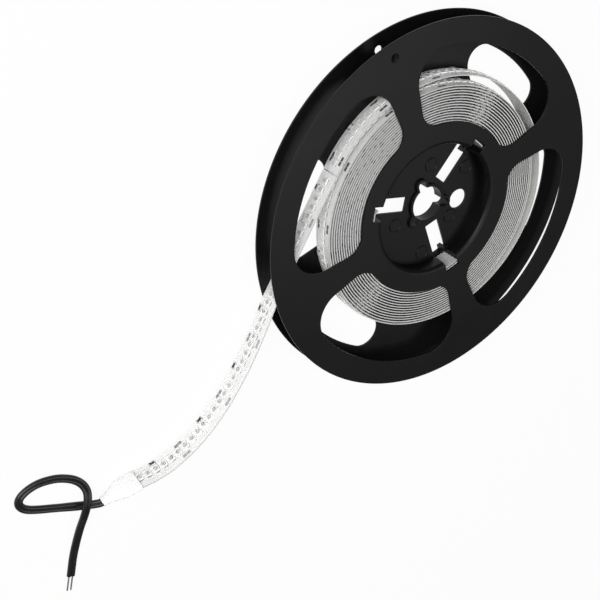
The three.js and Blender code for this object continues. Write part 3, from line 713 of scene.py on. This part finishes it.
def plate(outlines, low, high, edge):
    """A flat plate with rounded edges: the first outline is its rim and the others are its holes."""
    outline = bpy.data.curves.new("outline", "CURVE")
    outline.dimensions = "2D"
    outline.fill_mode = "BOTH"
    outline.extrude = (high - low) / 2 - edge
    outline.bevel_depth = edge
    outline.bevel_resolution = 1
    outline.offset = -edge
    for points in outlines:
        spline = outline.splines.new("POLY")
        spline.points.add(len(points) - 1)
        for point, place in zip(spline.points, points):
            point.co = (place.x, place.y, 0, 1)
        spline.use_cyclic_u = True
    carrier = bpy.data.objects.new("outline", outline)
    mesh = bpy.data.meshes.new_from_object(carrier)
    mesh.materials.clear()
    shape = bmesh.new()
    shape.from_mesh(mesh)
    bpy.data.objects.remove(carrier)
    bpy.data.curves.remove(outline)
    bpy.data.meshes.remove(mesh)
    bmesh.ops.remove_doubles(shape, verts=shape.verts, dist=edge / 50)
    bmesh.ops.transform(shape, matrix=level((low + high) / 2), verts=shape.verts)
    bmesh.ops.recalc_face_normals(shape, faces=shape.faces)
    return shape


def spun(profile, start=0.0, angle=TURN):
    """A solid turned about the axis from a closed profile of (radius, height) points."""
    shape = bmesh.new()
    corners = [shape.verts.new((radius, 0, height)) for radius, height in profile]
    if angle == TURN:
        edges = [shape.edges.new((a, b)) for a, b in zip(corners, corners[1:] + corners[:1])]
        geometry = corners + edges
    else:
        geometry = [shape.faces.new(corners)]
    bmesh.ops.rotate(shape, cent=(0, 0, 0), matrix=Matrix.Rotation(start, 3, "Z"), verts=corners)
    steps = max(2, round(HUB_STEPS * angle / TURN))
    bmesh.ops.spin(
        shape, geom=geometry, cent=(0, 0, 0), axis=(0, 0, 1), angle=angle, steps=steps,
        use_merge=angle == TURN,
    )
    bmesh.ops.remove_doubles(shape, verts=shape.verts, dist=TINY / 10)
    bmesh.ops.recalc_face_normals(shape, faces=shape.faces)
    return shape


def slice_off(shape, angle, offset, side):
    """Cuts a shape along a plane beside a radius, drops one side and closes the cut."""
    turn = Matrix.Rotation(angle, 3, "Z")
    cut = bmesh.ops.bisect_plane(
        shape, geom=shape.verts[:] + shape.edges[:] + shape.faces[:], dist=TINY / 100,
        plane_co=turn @ Vector((0, offset, 0)), plane_no=turn @ Vector((0, side, 0)), clear_inner=True,
    )
    edges = [item for item in cut["geom_cut"] if isinstance(item, bmesh.types.BMEdge)]
    bmesh.ops.holes_fill(shape, edges=edges)
    bmesh.ops.recalc_face_normals(shape, faces=shape.faces)


def sectors(profile, openings):
    """Three sectors of a turned wall. Each slot leaves it open between two sideways offsets."""
    shape = bmesh.new()
    for angle, (_low, high), (next_low, _high) in zip(SLOT_ANGLES, openings, openings[1:] + openings[:1]):
        wall = spun(profile, angle, TURN / 3)
        slice_off(wall, angle, high, 1)
        slice_off(wall, angle + TURN / 3, next_low, -1)
        take_in(shape, wall)
    return shape


def block(low, high, edge=0.0, material=0):
    """A box between two corners, with its edges bevelled if an edge size is given."""
    shape = bmesh.new()
    low, high = Vector(low), Vector(high)
    bmesh.ops.create_cube(shape, size=1)
    bmesh.ops.scale(shape, vec=high - low, verts=shape.verts)
    bmesh.ops.translate(shape, vec=(low + high) / 2, verts=shape.verts)
    for item in shape.faces:
        item.material_index = material
    if edge:
        bmesh.ops.bevel(
            shape, geom=shape.edges, offset=edge, segments=2, profile=0.5, affect="EDGES", material=-1,
        )
    return shape


class Route:
    """A smooth line through chosen points, with the frame of a flat strip at any distance along it."""

    def __init__(self, points, lean, spacing=12):
        chosen = [Vector(point) for point in points]
        chosen = [2 * chosen[0] - chosen[1]] + chosen + [2 * chosen[-1] - chosen[-2]]
        self.line = []
        for before, start, end, after in zip(chosen, chosen[1:], chosen[2:], chosen[3:]):
            first = start + (end - before) / 6
            second = end - (after - start) / 6
            self.line += interpolate_bezier(start, first, second, end, spacing + 1)[:-1]
        self.line.append(chosen[-2])
        self.marks = [0.0]
        for a, b in zip(self.line, self.line[1:]):
            self.marks.append(self.marks[-1] + (b - a).length)
        self.length = self.marks[-1]
        self.lean = lean

    def centre(self, distance):
        """The point at that distance. Past either end the line runs straight on."""
        index = min(max(bisect_right(self.marks, distance) - 1, 0), len(self.line) - 2)
        step = self.marks[index + 1] - self.marks[index]
        share = (distance - self.marks[index]) / step
        return self.line[index] + (self.line[index + 1] - self.line[index]) * share

    def frame(self, distance):
        """Centre, direction, the strip's width direction and its face's normal."""
        centre = self.centre(distance)
        along = (self.centre(distance + MM / 4) - self.centre(distance - MM / 4)).normalized()
        outward = Vector((along.y, -along.x, 0)).normalized()
        upright = outward.cross(along).normalized()
        lean = self.lean(distance, self.length)
        across = upright * math.cos(lean) - outward * math.sin(lean)
        face = outward * math.cos(lean) + upright * math.sin(lean)
        return centre, along, across, face

    def matrix(self, distance, offset, height):
        """Places a part whose X runs along, Y across and Z out of the strip's face."""
        centre, along, across, face = self.frame(distance)
        matrix = Matrix((along, across, face)).transposed().to_4x4()
        matrix.translation = centre + across * offset + face * height
        return matrix

    def points(self, start, end, count):
        return [self.centre(start + (end - start) * k / (count - 1)) for k in range(count)]


def sheet_along(route, start, end, step, width, thickness, origin):
    """A flat strip bent along a route. Its UV map holds the distance from the free end and the place
    across."""
    shape = bmesh.new()
    steps = math.ceil((end - start) / step)
    bmesh.ops.create_grid(shape, x_segments=steps, y_segments=4, size=0.5)
    bmesh.ops.translate(shape, vec=(0, 0, thickness / 2), verts=shape.verts)
    bmesh.ops.solidify(shape, geom=shape.faces[:], thickness=thickness)
    lowest = min(vert.co.z for vert in shape.verts)
    highest = max(vert.co.z for vert in shape.verts)
    middle = (lowest + highest) / 2
    bmesh.ops.recalc_face_normals(shape, faces=shape.faces)
    uv = shape.loops.layers.uv.new("UVMap")
    for item in shape.faces:
        normal = item.normal.z
        item.material_index = 0 if normal > 0.5 else 1 if normal < -0.5 else 2
        for loop in item.loops:
            distance = start + (loop.vert.co.x + 0.5) * (end - start)
            loop[uv].uv = (origin - distance, loop.vert.co.y * width)
    for vert in shape.verts:
        centre, _along, across, face = route.frame(start + (vert.co.x + 0.5) * (end - start))
        vert.co = centre + across * (vert.co.y * width) + face * (vert.co.z - middle)
    bmesh.ops.recalc_face_normals(shape, faces=shape.faces)
    return shape


def tube_along(route, start, end, steps, sides, section, closed=True):
    """A tube bent along a route. section gives the (across, face) point for a share along and a share
    round."""
    shape = bmesh.new()
    bmesh.ops.create_grid(shape, x_segments=steps, y_segments=sides, size=0.5)
    for vert in shape.verts:
        share = vert.co.x + 0.5
        centre, _along, across, face = route.frame(start + share * (end - start))
        a, b = section(share, vert.co.y + 0.5)
        vert.co = centre + across * a + face * b
    bmesh.ops.remove_doubles(shape, verts=shape.verts, dist=TINY / 10)
    if closed:
        bmesh.ops.holes_fill(shape, edges=[edge for edge in shape.edges if edge.is_boundary])
    bmesh.ops.recalc_face_normals(shape, faces=shape.faces)
    return shape


# The strip and what is soldered on it


def tail_lean(distance, total):
    return TAIL_LEAN * ease(distance, TAIL_LEAN_START, total)


def lead_lean(distance, _total):
    return TAIL_LEAN + (QUARTER - TAIL_LEAN) * ease(distance, 12.9 * MM, 12.9 * MM + LEAD_LEAN_LENGTH)


def tail_route():
    return Route([Vector(point) * MM for point in TAIL_ROUTE], tail_lean)


def lead_route():
    return Route([Vector(point) * MM for point in LEAD_ROUTE], lead_lean)


def wound_route():
    """Middle line of the wound strip: through the slot, round a small bend, outwards turn by turn, and last
    the loose outer turn, which stops just short of the free strip."""
    part = strip_sizes()
    middle = (STRIP_LOW + STRIP_HIGH) / 2
    bend_y = part.first_turn - part.inner_bend
    flat = [Vector((part.inner_offset, part.inner_end)), Vector((part.inner_offset, bend_y))]
    for step in range(1, 6):
        angle = QUARTER * step / 6
        flat.append(Vector((
            part.inner_offset - part.inner_bend * (1 - math.cos(angle)),
            bend_y + part.inner_bend * math.sin(angle),
        )))
    turn = Matrix.Rotation(SLOT_ANGLES[2] - QUARTER, 2)
    flat = [turn @ point for point in flat]
    start = SLOT_ANGLES[2] + math.asin(part.inner_bend / part.first_turn)
    wound = WOUND_TURNS * TURN
    step = TURN / TURN_STEPS
    for k in range(int(wound / step) + 1):
        flat.append(polar(part.first_turn + part.pitch * k * step / TURN, start + k * step))
    outer = part.first_turn + part.pitch * WOUND_TURNS
    loose = outer + part.loose_gap
    tail = Vector(TAIL_ROUTE[0]) * MM
    stop = math.atan2(tail.y, tail.x) - 0.3 * MM / loose
    sweep = (stop - start - wound) % TURN
    count = math.ceil(sweep / step)
    for k in range(1, count + 1):
        radius = outer + part.loose_gap * ease(k / count, 0.0, LOOSE_SWELL)
        flat.append(polar(radius, start + wound + sweep * k / count))
    return Route([(point.x, point.y, middle) for point in flat], lambda _distance, _total: 0.0, spacing=1)


def whole_length():
    """Length of the whole strip, from its free end to its inner end."""
    return tail_route().length + 0.3 * MM + wound_route().length


def packed_range():
    """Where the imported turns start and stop, as distances from the free end: the loose turn, the turn
    under it and the innermost turn lie open."""
    part = strip_sizes()
    outer = part.first_turn + part.pitch * WOUND_TURNS
    return tail_route().length + TURN * 1.6 * outer, whole_length() - TURN * part.first_turn


def highest_face(shape):
    return max(shape.faces, key=lambda item: item.calc_center_median().z * 1e3 + item.calc_area())


def solder_fillets(shape, x, y, edge):
    """Adds a solder fillet at both ends of an LED."""
    for side in (-1, 1):
        ends = sorted((side * y - side * 0.15 * MM, side * y + side * 0.3 * MM))
        fillet = block((-0.8 * x, ends[0], 0), (0.8 * x, ends[1], 0.24 * MM), edge, material=2)
        for vert in fillet.verts:
            if vert.co.y * side > y + 0.1 * MM and vert.co.z > 0.1 * MM:
                vert.co.z = 0.07 * MM
        take_in(shape, fillet)


def led_shape():
    """One LED with its foot at Z 0: a white housing with a sunk round window and a solder fillet at
    each end."""
    part = strip_sizes()
    x, y, z = part.led_length / 2, part.led_width / 2, part.led_height
    shape = block((-x, -y, 0.02 * MM), (x, y, z), 0.09 * MM)
    bmesh.ops.delete(shape, geom=[highest_face(shape)], context="FACES_ONLY")
    loop = [edge for edge in shape.edges if edge.is_boundary]
    # The sloped ring down into the window is real; its grey finish is painted shade round the window's rim.
    for radius, depth, material in ((WINDOW_RADIUS, 0.0, 0), (WINDOW_RADIUS - WINDOW_SLOPE, WINDOW_DEPTH, 3)):
        circle = bmesh.ops.create_circle(
            shape, cap_ends=depth > 0, segments=WINDOW_SIDES, radius=radius, matrix=level(z - depth))["verts"]
        around = list({edge for vert in circle for edge in vert.link_edges})
        for item in bmesh.ops.bridge_loops(shape, edges=loop + around)["faces"]:
            item.material_index = material
        loop = around
    floor = min(circle[0].link_faces, key=lambda item: abs(item.calc_center_median().xy.length))
    floor.material_index = 1
    bmesh.ops.recalc_face_normals(shape, faces=shape.faces)
    solder_fillets(shape, x, y, 0.03 * MM)
    return shape


def plain_led_shape():
    """The same LED with few faces, for the wound turns."""
    part = strip_sizes()
    x, y, z = part.led_length / 2, part.led_width / 2, part.led_height
    edge = 0.09 * MM
    shape = block((-x, -y, 0.02 * MM), (x, y, z - edge))
    top = highest_face(shape)
    for inset, depth in ((edge, edge), (0.35 * MM, 0.0), (WINDOW_SLOPE, -WINDOW_DEPTH)):
        bmesh.ops.inset_individual(shape, faces=[top], thickness=inset, depth=depth)
    top.material_index = 1
    solder_fillets(shape, x, y, 0.0)
    return shape


def resistor_shape(edge=0.07 * MM):
    """One chip resistor with its foot at Z 0: a pale body with a dark glazed top between two tinned caps."""
    part = strip_sizes()
    x, y, z = part.resistor_length / 2, part.resistor_width / 2, part.resistor_height
    cap = 0.5 * MM
    inner = x - cap
    shape = block((-x + cap / 2, -y + edge, 0.04 * MM), (x - cap / 2, y - edge, z - edge), edge, material=2)
    glaze_side = y - 0.22 * MM
    take_in(shape, block((-inner, -glaze_side, z / 2), (inner, glaze_side, z - 0.02 * MM), edge / 2))
    for side in (-1, 1):
        ends = sorted((side * x, side * inner))
        take_in(shape, block((ends[0], -y, 0), (ends[1], y, z), edge, material=1))
    return shape


def row_of(template, matrices):
    """Copies of one small part, one for each matrix."""
    pattern = bpy.data.meshes.new("pattern")
    template.to_mesh(pattern)
    template.free()
    shape = bmesh.new()
    for matrix in matrices:
        copy = pattern.copy()
        copy.transform(matrix)
        shape.from_mesh(copy)
        bpy.data.meshes.remove(copy)
    bpy.data.meshes.remove(pattern)
    return shape


def places_from_end(first, step, low, high):
    """Distances from the free end, one each step, that lie between two limits."""
    count = math.floor((high - first) / step)
    return [first + k * step for k in range(count + 1) if first + k * step > low]


def soldered_row(name, route, origin, total, first, step, offset, template, materials, replaced):
    """A row of like parts on a stretch of the strip. origin is the route's own distance from the free end."""
    part = strip_sizes()
    margin = 2 * MM
    distances = places_from_end(first, step, origin - total + margin / 4, origin - margin / 4)
    matrices = [route.matrix(origin - distance, offset, part.thickness / 2) for distance in distances]
    return add_piece(name, row_of(template, matrices), materials, replaced)


LED_LOOKS = ("led_housing", "led_window", "tinned_copper", "led_rim_shade")
RESISTOR_LOOKS = ("resistor_glaze", "tinned_copper", "led_housing")
WINDOW_RADIUS = 1.15 * MM
WINDOW_SLOPE = 0.16 * MM
WINDOW_DEPTH = 0.1 * MM
WINDOW_SIDES = 20


class LEDREEL_OT_free_strip(bpy.types.Operator):
    """Make the free end of the strip, its LEDs, its resistors and the shrunk sleeve on its end"""

    bl_idname = "led_reel.free_strip"
    bl_label = "Free Strip"

    def execute(self, context):
        part = strip_sizes()
        route = tail_route()
        pitch = part.led_pitch
        shape = sheet_along(
            route, 0.0, route.length, TAIL_STEP, STRIP_HIGH - STRIP_LOW, part.thickness, route.length)
        strip = add_piece(
            "free_strip", shape, ("strip_face", "strip_back", "strip_edge"), ("strip_tail",))
        leds = soldered_row(
            "free_leds", route, route.length, route.length, pitch / 2, pitch, part.led_row,
            led_shape(), LED_LOOKS, LED_NODES)
        resistors = soldered_row(
            "free_resistors", route, route.length, route.length, LEDS_PER_SECTION * pitch / 2,
            LEDS_PER_SECTION * pitch, part.resistor_row, resistor_shape(), RESISTOR_LOOKS,
            RESISTOR_NODES)
        sleeve = make_sleeve()
        route.centre(0.0)
        route.points(0.0, route.length, 160)
        return {"FINISHED"}


def make_sleeve():
    """The shrunk sleeve: a flat oval over the strip's end that narrows on to the lead."""
    part = strip_sizes()
    tail = tail_route()
    beyond = [Vector(point) * MM for point in SLEEVE_ROUTE[1:]]
    joined = [tail.centre(tail.length - part.sleeve_overlap), tail.centre(tail.length)] + beyond
    route = Route(joined, lambda _distance, _total: TAIL_LEAN)
    wall = part.sleeve_wall

    def section(share, round_share):
        angle = TURN * round_share
        narrow = ease(share, 0.32, 0.95)
        width = part.sleeve_width + (part.sleeve_end_width - part.sleeve_width) * narrow
        depth = part.sleeve_depth + (part.sleeve_end_depth - part.sleeve_depth) * narrow
        flatness = 1.35 - 0.35 * narrow
        crease = 0.06 * MM * math.sin(9 * share + 3 * angle) * math.sin(math.pi * share)
        across = math.copysign(abs(math.cos(angle)) ** (1 / flatness), math.cos(angle))
        face = math.copysign(abs(math.sin(angle)) ** flatness ** 0.2, math.sin(angle))
        return across * (width / 2 - 0.1 * MM + crease), face * (depth / 2 - 0.1 * MM + crease)

    shape = tube_along(route, 0.0, route.length, SLEEVE_STEPS, SLEEVE_SIDES, section, closed=False)
    bmesh.ops.solidify(shape, geom=shape.faces[:], thickness=wall)
    bmesh.ops.recalc_face_normals(shape, faces=shape.faces)
    return add_piece(
        "sleeve", shape, ("sleeve_white",), ("shrink_sleeve",), smooth_to=math.radians(50))


class LEDREEL_OT_lead(bpy.types.Operator):
    """Make the two-core lead and its bare ends, and finish the solder joints under the sleeve"""

    bl_idname = "led_reel.lead"
    bl_label = "Lead"

    def execute(self, context):
        part = strip_sizes()
        route = lead_route()
        radius = part.lead_thickness / 2
        place = part.lead_width / 2 - radius
        sweep = math.pi - math.acos(0.97 * place / radius)

        def twin_section(_share, round_share):
            side = 1 if round_share < 0.5 else -1
            within = (round_share % 0.5) / 0.5 if round_share < 1.0 else 1.0
            angle = (2 * within - 1) * sweep
            if side > 0:
                return place + radius * math.cos(angle), radius * math.sin(angle)
            return -place - radius * math.cos(angle), -radius * math.sin(angle)

        steps = math.ceil(route.length / LEAD_STEP)
        shape = tube_along(route, 0.0, route.length, steps, 28, twin_section)
        lead = add_piece(
            "lead", shape, ("lead_jacket",), ("lead_cable",), smooth_to=math.radians(55))
        for number, side in ((1, -1), (2, 1)):
            offset = side * part.wire_spacing / 2

            def strand_section(share, round_share, offset=offset):
                angle = TURN * round_share
                lobes = 0.86 + 0.14 * abs(math.cos(3.5 * (angle + 5 * share)))
                taper = 1 - 0.35 * ease(share, 0.93, 1.0)
                size = part.wire_radius * lobes * taper
                return offset + size * math.cos(angle), size * math.sin(angle)

            wire_shape = tube_along(
                route, route.length - 0.2 * MM, route.length + part.wire_length, 60, 42, strand_section)
            add_piece(
                f"bare_core_{number}", wire_shape, ("tinned_copper",),
                (f"bare_wire_{number}",), smooth_to=math.radians(40))
        for name in SOLDER_NODES:
            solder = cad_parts[name]
            solder.data.materials.clear()
            solder.data.materials.append(finish_for("tinned_copper"))
        route.centre(0.0)
        route.points(0.0, route.length, 160)
        return {"FINISHED"}


class LEDREEL_OT_wound_strip(bpy.types.Operator):
    """Make the wound turns of the strip with their LEDs and resistors"""

    bl_idname = "led_reel.wound_strip"
    bl_label = "Wound Strip"

    def execute(self, context):
        part = strip_sizes()
        route = wound_route()
        pitch = part.led_pitch
        section = LEDS_PER_SECTION * pitch
        origin = whole_length()
        step = TURN * 48 * MM / TURN_STEPS
        shape = sheet_along(route, 0.0, route.length, step, STRIP_HIGH - STRIP_LOW, part.thickness, origin)
        looks = ("strip_face", "strip_back", "strip_edge")
        add_piece("wound_strip", shape, looks, ("strip_roll",))
        soldered_row(
            "wound_leds", route, origin, route.length, pitch / 2, pitch, part.led_row, plain_led_shape(),
            LED_LOOKS, ())
        soldered_row(
            "wound_resistors", route, origin, route.length, section / 2, section, part.resistor_row,
            resistor_shape(edge=0.0), RESISTOR_LOOKS, ())
        return {"FINISHED"}


# The two moulded halves


def lip_profile(face, direction):
    """Points of the rounded lip from the flange's face to the recess's wall."""
    size = sizes()
    points = []
    for k in range(LIP_STEPS + 1):
        angle = QUARTER * k / LIP_STEPS
        radius = size.recess + size.lip * (1 - math.sin(angle))
        points.append((radius, face + direction * size.lip * (1 - math.cos(angle))))
    return points


def rim_hole():
    size = sizes()
    return ring(size.rim_hole, polar(FLANGE_RADIUS - size.rim_hole_inset, RIM_HOLE_ANGLE), 32)


def keyed_outline(wall):
    """Outline of the bore with its round-ended keyways, wider by a wall all round."""
    size = sizes()
    radius = size.bore + wall
    half = size.keyway_half + wall
    inset = math.asin(half / radius)
    end = Vector((size.keyway_reach - size.keyway_half, 0))
    points = []
    for angle, after in zip(KEYWAY_ANGLES, KEYWAY_ANGLES[1:] + [KEYWAY_ANGLES[0] + TURN]):
        turn = Matrix.Rotation(angle, 2)
        points += arc(turn @ end, half, angle - QUARTER, angle + QUARTER)
        points += arc(Vector((0, 0)), radius, angle + inset, after - inset)
    return points


def round_mark(radius, angle, top):
    """One round ejector mark on the web: a low disc with a sunk middle."""
    size = sizes()
    wide = size.mark
    profile = [
        (0.0, top - 0.3 * MM), (wide, top - 0.3 * MM), (wide, top + size.mark_height * 0.7),
        (wide - 0.1 * MM, top + size.mark_height), (wide - 0.6 * MM, top + size.mark_height),
        (wide - 0.75 * MM, top + size.mark_height * 0.55), (0.0, top + size.mark_height * 0.55),
    ]
    disc = spun(profile)
    place = polar(radius, angle)
    bmesh.ops.translate(disc, vec=(place.x, place.y, 0), verts=disc.verts)
    return disc


class LEDREEL_OT_front_half(bpy.types.Operator):
    """Make the front half of the reel: flange, hub cup, slotted web and arbor boss"""

    bl_idname = "led_reel.front_half"
    bl_label = "Front Half"

    def execute(self, context):
        size = sizes()
        edge = size.edge
        top = REEL_WIDTH
        under = top - size.flange_thickness
        web_top = top - size.web_depth
        web_low = web_top - size.web
        lip_outer = size.recess + size.lip
        notch_reach = size.recess + size.notch
        outlines = [ring(FLANGE_RADIUS, steps=2 * HUB_STEPS)]
        outlines += [notched_ring(lip_outer, SLOT_ANGLES, size.slot_half, notch_reach), rim_hole()]
        outlines += [front_window(angle) for angle in WINDOW_ANGLES]
        shape = plate(outlines, under, top, edge)
        cup_outer = size.recess + size.hub_wall
        wall = [(lip_outer + 2 * edge, under + TINY), (lip_outer + 2 * edge, top - TINY)]
        wall += lip_profile(top - TINY, -1)
        wall += [(size.recess, web_low + TINY), (cup_outer, web_low + TINY), (cup_outer, under + TINY)]
        take_in(shape, sectors(wall, [(-size.slot_half, size.slot_half)] * 3))
        web = [
            notched_ring(size.recess + size.hub_wall / 2, SLOT_ANGLES, size.slot_half, size.slot_start),
            keyed_outline(0.0),
            ring(size.web_hole, polar(size.web_hole_place, WEB_HOLE_ANGLE), 64),
        ]
        take_in(shape, plate(web, web_low, web_top, edge / 2))
        boss = [keyed_outline(size.boss_wall), keyed_outline(-TINY)]
        take_in(shape, plate(boss, web_low - size.boss_drop, web_top + size.boss_rise, edge))
        for radius, first in MARKS:
            for k in range(3):
                take_in(shape, round_mark(radius, first + k * TURN / 3, web_top))
        add_piece("front_half", shape, ("reel_plastic",), ("front_reel_half",))
        return {"FINISHED"}


def at_side(side, low, high):
    """Two sideways offsets at the finger's side of a slot, in rising order."""
    return (low, high) if side > 0 else (-high, -low)


def snap_finger(angle, side):
    """One snap finger in a slot: a foot on the collar, a post and a hook over the front half's web."""
    size = sizes()
    edge = size.edge / 2
    web_top = REEL_WIDTH - size.web_depth
    foot_top = web_top - size.web - size.clearance
    outer = size.recess - 2 * size.clearance
    inner = outer - FINGER_DEPTH
    side_high = size.slot_half - size.clearance
    post_low, post_high = at_side(side, side_high - FINGER_WIDTH, side_high)
    hook_side_low, hook_side_high = at_side(side, side_high - 3 * edge, side_high + FINGER_HOOK)
    hook_low = web_top + size.clearance
    hook_top = hook_low + FINGER_HOOK_HEIGHT
    shape = block(
        (inner, post_low, foot_top - FINGER_FOOT_HEIGHT),
        (size.recess + size.hub_wall / 2, post_high, foot_top), edge)
    take_in(shape, block((inner, post_low, foot_top - 2 * edge), (outer, post_high, hook_top), edge))
    take_in(shape, block((inner, hook_side_low, hook_low), (outer, hook_side_high, hook_top - TINY), edge))
    bmesh.ops.rotate(shape, cent=(0, 0, 0), matrix=Matrix.Rotation(angle, 3, "Z"), verts=shape.verts)
    return shape


class LEDREEL_OT_rear_half(bpy.types.Operator):
    """Make the rear half of the reel: flange, collar, drum and snap fingers"""

    bl_idname = "led_reel.rear_half"
    bl_label = "Rear Half"

    def execute(self, context):
        size = sizes()
        edge = size.edge
        lip_outer = size.recess + size.lip
        drum_inner = size.recess + size.hub_wall + size.cup_to_drum
        drum_outer = drum_inner + size.hub_wall
        collar_outer = drum_inner + size.hub_wall / 2
        collar_top = WEB_LEVEL_LOW + size.boss_drop - size.clearance
        outlines = [ring(FLANGE_RADIUS, steps=2 * HUB_STEPS), ring(lip_outer), rim_hole()]
        outlines += [rear_window(x, y) for x, y in ((1, 1), (-1, 1), (-1, -1), (1, -1))]
        shape = plate(outlines, 0.0, size.flange_thickness, edge)
        base = [(collar_outer, size.lip), (collar_outer, TINY), (lip_outer + 2 * edge, TINY)]
        base += lip_profile(TINY, 1)
        take_in(shape, spun(base))
        collar = [
            (size.recess + TINY, size.lip - edge), (size.recess + TINY, collar_top - edge),
            (size.recess + edge, collar_top), (collar_outer - TINY, collar_top),
            (collar_outer - TINY, size.lip - edge),
        ]
        beside_fingers = [
            at_side(side, -size.slot_half, size.slot_half - size.clearance - FINGER_WIDTH)
            for side in FINGER_SIDES
        ]
        take_in(shape, sectors(collar, beside_fingers))
        drum = [
            (drum_inner, size.flange_thickness / 2), (drum_inner, DRUM_TOP - edge),
            (drum_inner + edge, DRUM_TOP), (drum_outer - edge, DRUM_TOP), (drum_outer, DRUM_TOP - edge),
            (drum_outer, size.flange_thickness / 2),
        ]
        take_in(shape, sectors(drum, [(-size.slot_half, size.slot_half)] * 3))
        for angle, side in zip(SLOT_ANGLES, FINGER_SIDES):
            take_in(shape, snap_finger(angle, side))
        add_piece("rear_half", shape, ("reel_plastic",), ("rear_reel_half",))
        return {"FINISHED"}


# Stage

CAMERA_PLACE = Vector((251.6, -390.1, 448.1)) * MM
CAMERA_FORWARD = Vector((-0.2856, 0.6373, -0.7158))
CAMERA_UP = Vector((-0.5489, -0.7210, -0.4229))
LENS = 84
SENSOR = 36
LAMPS = [
    ("lamp_above", (0.35, -0.5, 1.1), 0.9, 8.6),
    ("lamp_front", (0.75, -0.8, 0.68), 0.6, 7.0),
    ("lamp_behind", (-0.33, 0.33, 1.09), 0.5, 3.2),
]
LAMP_AIM = Vector((0.05, 0.0, 0.0))
AMBIENT = 0.1
FLOOR_SIZE = 6.0
FLOOR_WHITE = 0.93


def seen_directly(nodes):
    """1 for rays that show the background: from the camera, or by way of gloss or glass."""
    path = nodes.add("ShaderNodeLightPath").outputs
    return nodes.maths("MAXIMUM", path["Is Camera Ray"], nodes.maths(
        "MAXIMUM", path["Is Glossy Ray"], path["Is Transmission Ray"]))


class LEDREEL_OT_stage(bpy.types.Operator):
    """Make the camera, the soft lamps and the pale floor"""

    bl_idname = "led_reel.stage"
    bl_label = "Stage"

    def execute(self, context):
        scene = context.scene
        camera = bpy.data.objects.new("camera", bpy.data.cameras.new("camera"))
        scene.collection.objects.link(camera)
        back = -CAMERA_FORWARD.normalized()
        right = CAMERA_UP.cross(back).normalized()
        turn = Matrix((right, back.cross(right), back)).transposed().to_4x4()
        camera.matrix_world = Matrix.Translation(CAMERA_PLACE) @ turn
        camera.data.lens = LENS
        camera.data.sensor_width = SENSOR
        camera.data.clip_end = 50
        scene.camera = camera
        for name, place, width, power in LAMPS:
            data = bpy.data.lights.new(name, "AREA")
            data.size = width
            data.energy = power
            lamp = bpy.data.objects.new(name, data)
            scene.collection.objects.link(lamp)
            lamp.location = place
            lamp.rotation_euler = (LAMP_AIM - Vector(place)).to_track_quat("-Z", "Y").to_euler()
        world = bpy.data.worlds.new("studio")
        scene.world = world
        world.use_nodes = True
        nodes = Nodes(world.node_tree)
        background = world.node_tree.nodes["Background"]
        background.inputs["Color"].default_value = (1, 1, 1, 1)
        camera_ray = nodes.add("ShaderNodeLightPath").outputs["Is Camera Ray"]
        nodes.feed(background.inputs["Strength"], nodes.spread(camera_ray, 0.0, 1.0, AMBIENT, 1.0))
        self.make_floor(scene)
        scene.view_settings.view_transform = "Standard"
        return {"FINISHED"}

    def make_floor(self, scene):
        """A wide pale floor that keeps a faint shadow and otherwise looks white."""
        shape = bmesh.new()
        bmesh.ops.create_grid(shape, x_segments=2, y_segments=2, size=FLOOR_SIZE / 2)
        mesh = bpy.data.meshes.new("floor")
        shape.to_mesh(mesh)
        shape.free()
        material, nodes, shader = new_finish("floor", 0.9, 0.1)
        shader.inputs["Base Color"].default_value = (*finishes().floor, 1)
        glow = nodes.add("ShaderNodeEmission")
        glow.inputs["Color"].default_value = (1, 1, 1, 1)
        blend = nodes.add("ShaderNodeMixShader")
        nodes.feed(blend.inputs[0], nodes.maths("MULTIPLY", seen_directly(nodes), FLOOR_WHITE))
        nodes.feed(blend.inputs[1], shader.outputs[0])
        nodes.feed(blend.inputs[2], glow.outputs[0])
        output = material.node_tree.nodes["Material Output"]
        nodes.feed(output.inputs["Surface"], blend.outputs[0])
        mesh.materials.append(material)
        floor = bpy.data.objects.new("floor", mesh)
        scene.collection.objects.link(floor)


class LEDREEL_PT_panel(bpy.types.Panel):
    """Sizes, colours and pieces of the reel"""

    bl_label = "LED Strip Reel"
    bl_idname = "LEDREEL_PT_panel"
    bl_space_type = "VIEW_3D"
    bl_region_type = "UI"
    bl_category = "LED Reel"

    def draw(self, context):
        layout = self.layout
        for operator in OPERATORS:
            layout.operator(operator.bl_idname)
        for group in (context.scene.led_reel, context.scene.led_strip, context.scene.led_finishes):
            box = layout.box()
            for name in group.__annotations__:
                box.prop(group, name)


OPERATORS = (
    LEDREEL_OT_stage,
    LEDREEL_OT_free_strip,
    LEDREEL_OT_lead,
    LEDREEL_OT_wound_strip,
    LEDREEL_OT_front_half,
    LEDREEL_OT_rear_half,
)
GROUPS = {"led_reel": ReelSizes, "led_strip": StripSizes, "led_finishes": Finishes}


def register():
    for item in (*GROUPS.values(), *OPERATORS, LEDREEL_PT_panel):
        bpy.utils.register_class(item)
    for name, group in GROUPS.items():
        setattr(bpy.types.Scene, name, bpy.props.PointerProperty(type=group))


def unregister():
    for name in GROUPS:
        delattr(bpy.types.Scene, name)
    for item in (LEDREEL_PT_panel, *reversed(OPERATORS), *reversed(GROUPS.values())):
        bpy.utils.unregister_class(item)


def main():
    register()
    bpy.ops.led_reel.stage()
    bpy.ops.led_reel.free_strip()
    bpy.ops.led_reel.lead()
    bpy.ops.led_reel.wound_strip()
    bpy.ops.led_reel.front_half()
    bpy.ops.led_reel.rear_half()


if __name__ == "__main__":
    main()
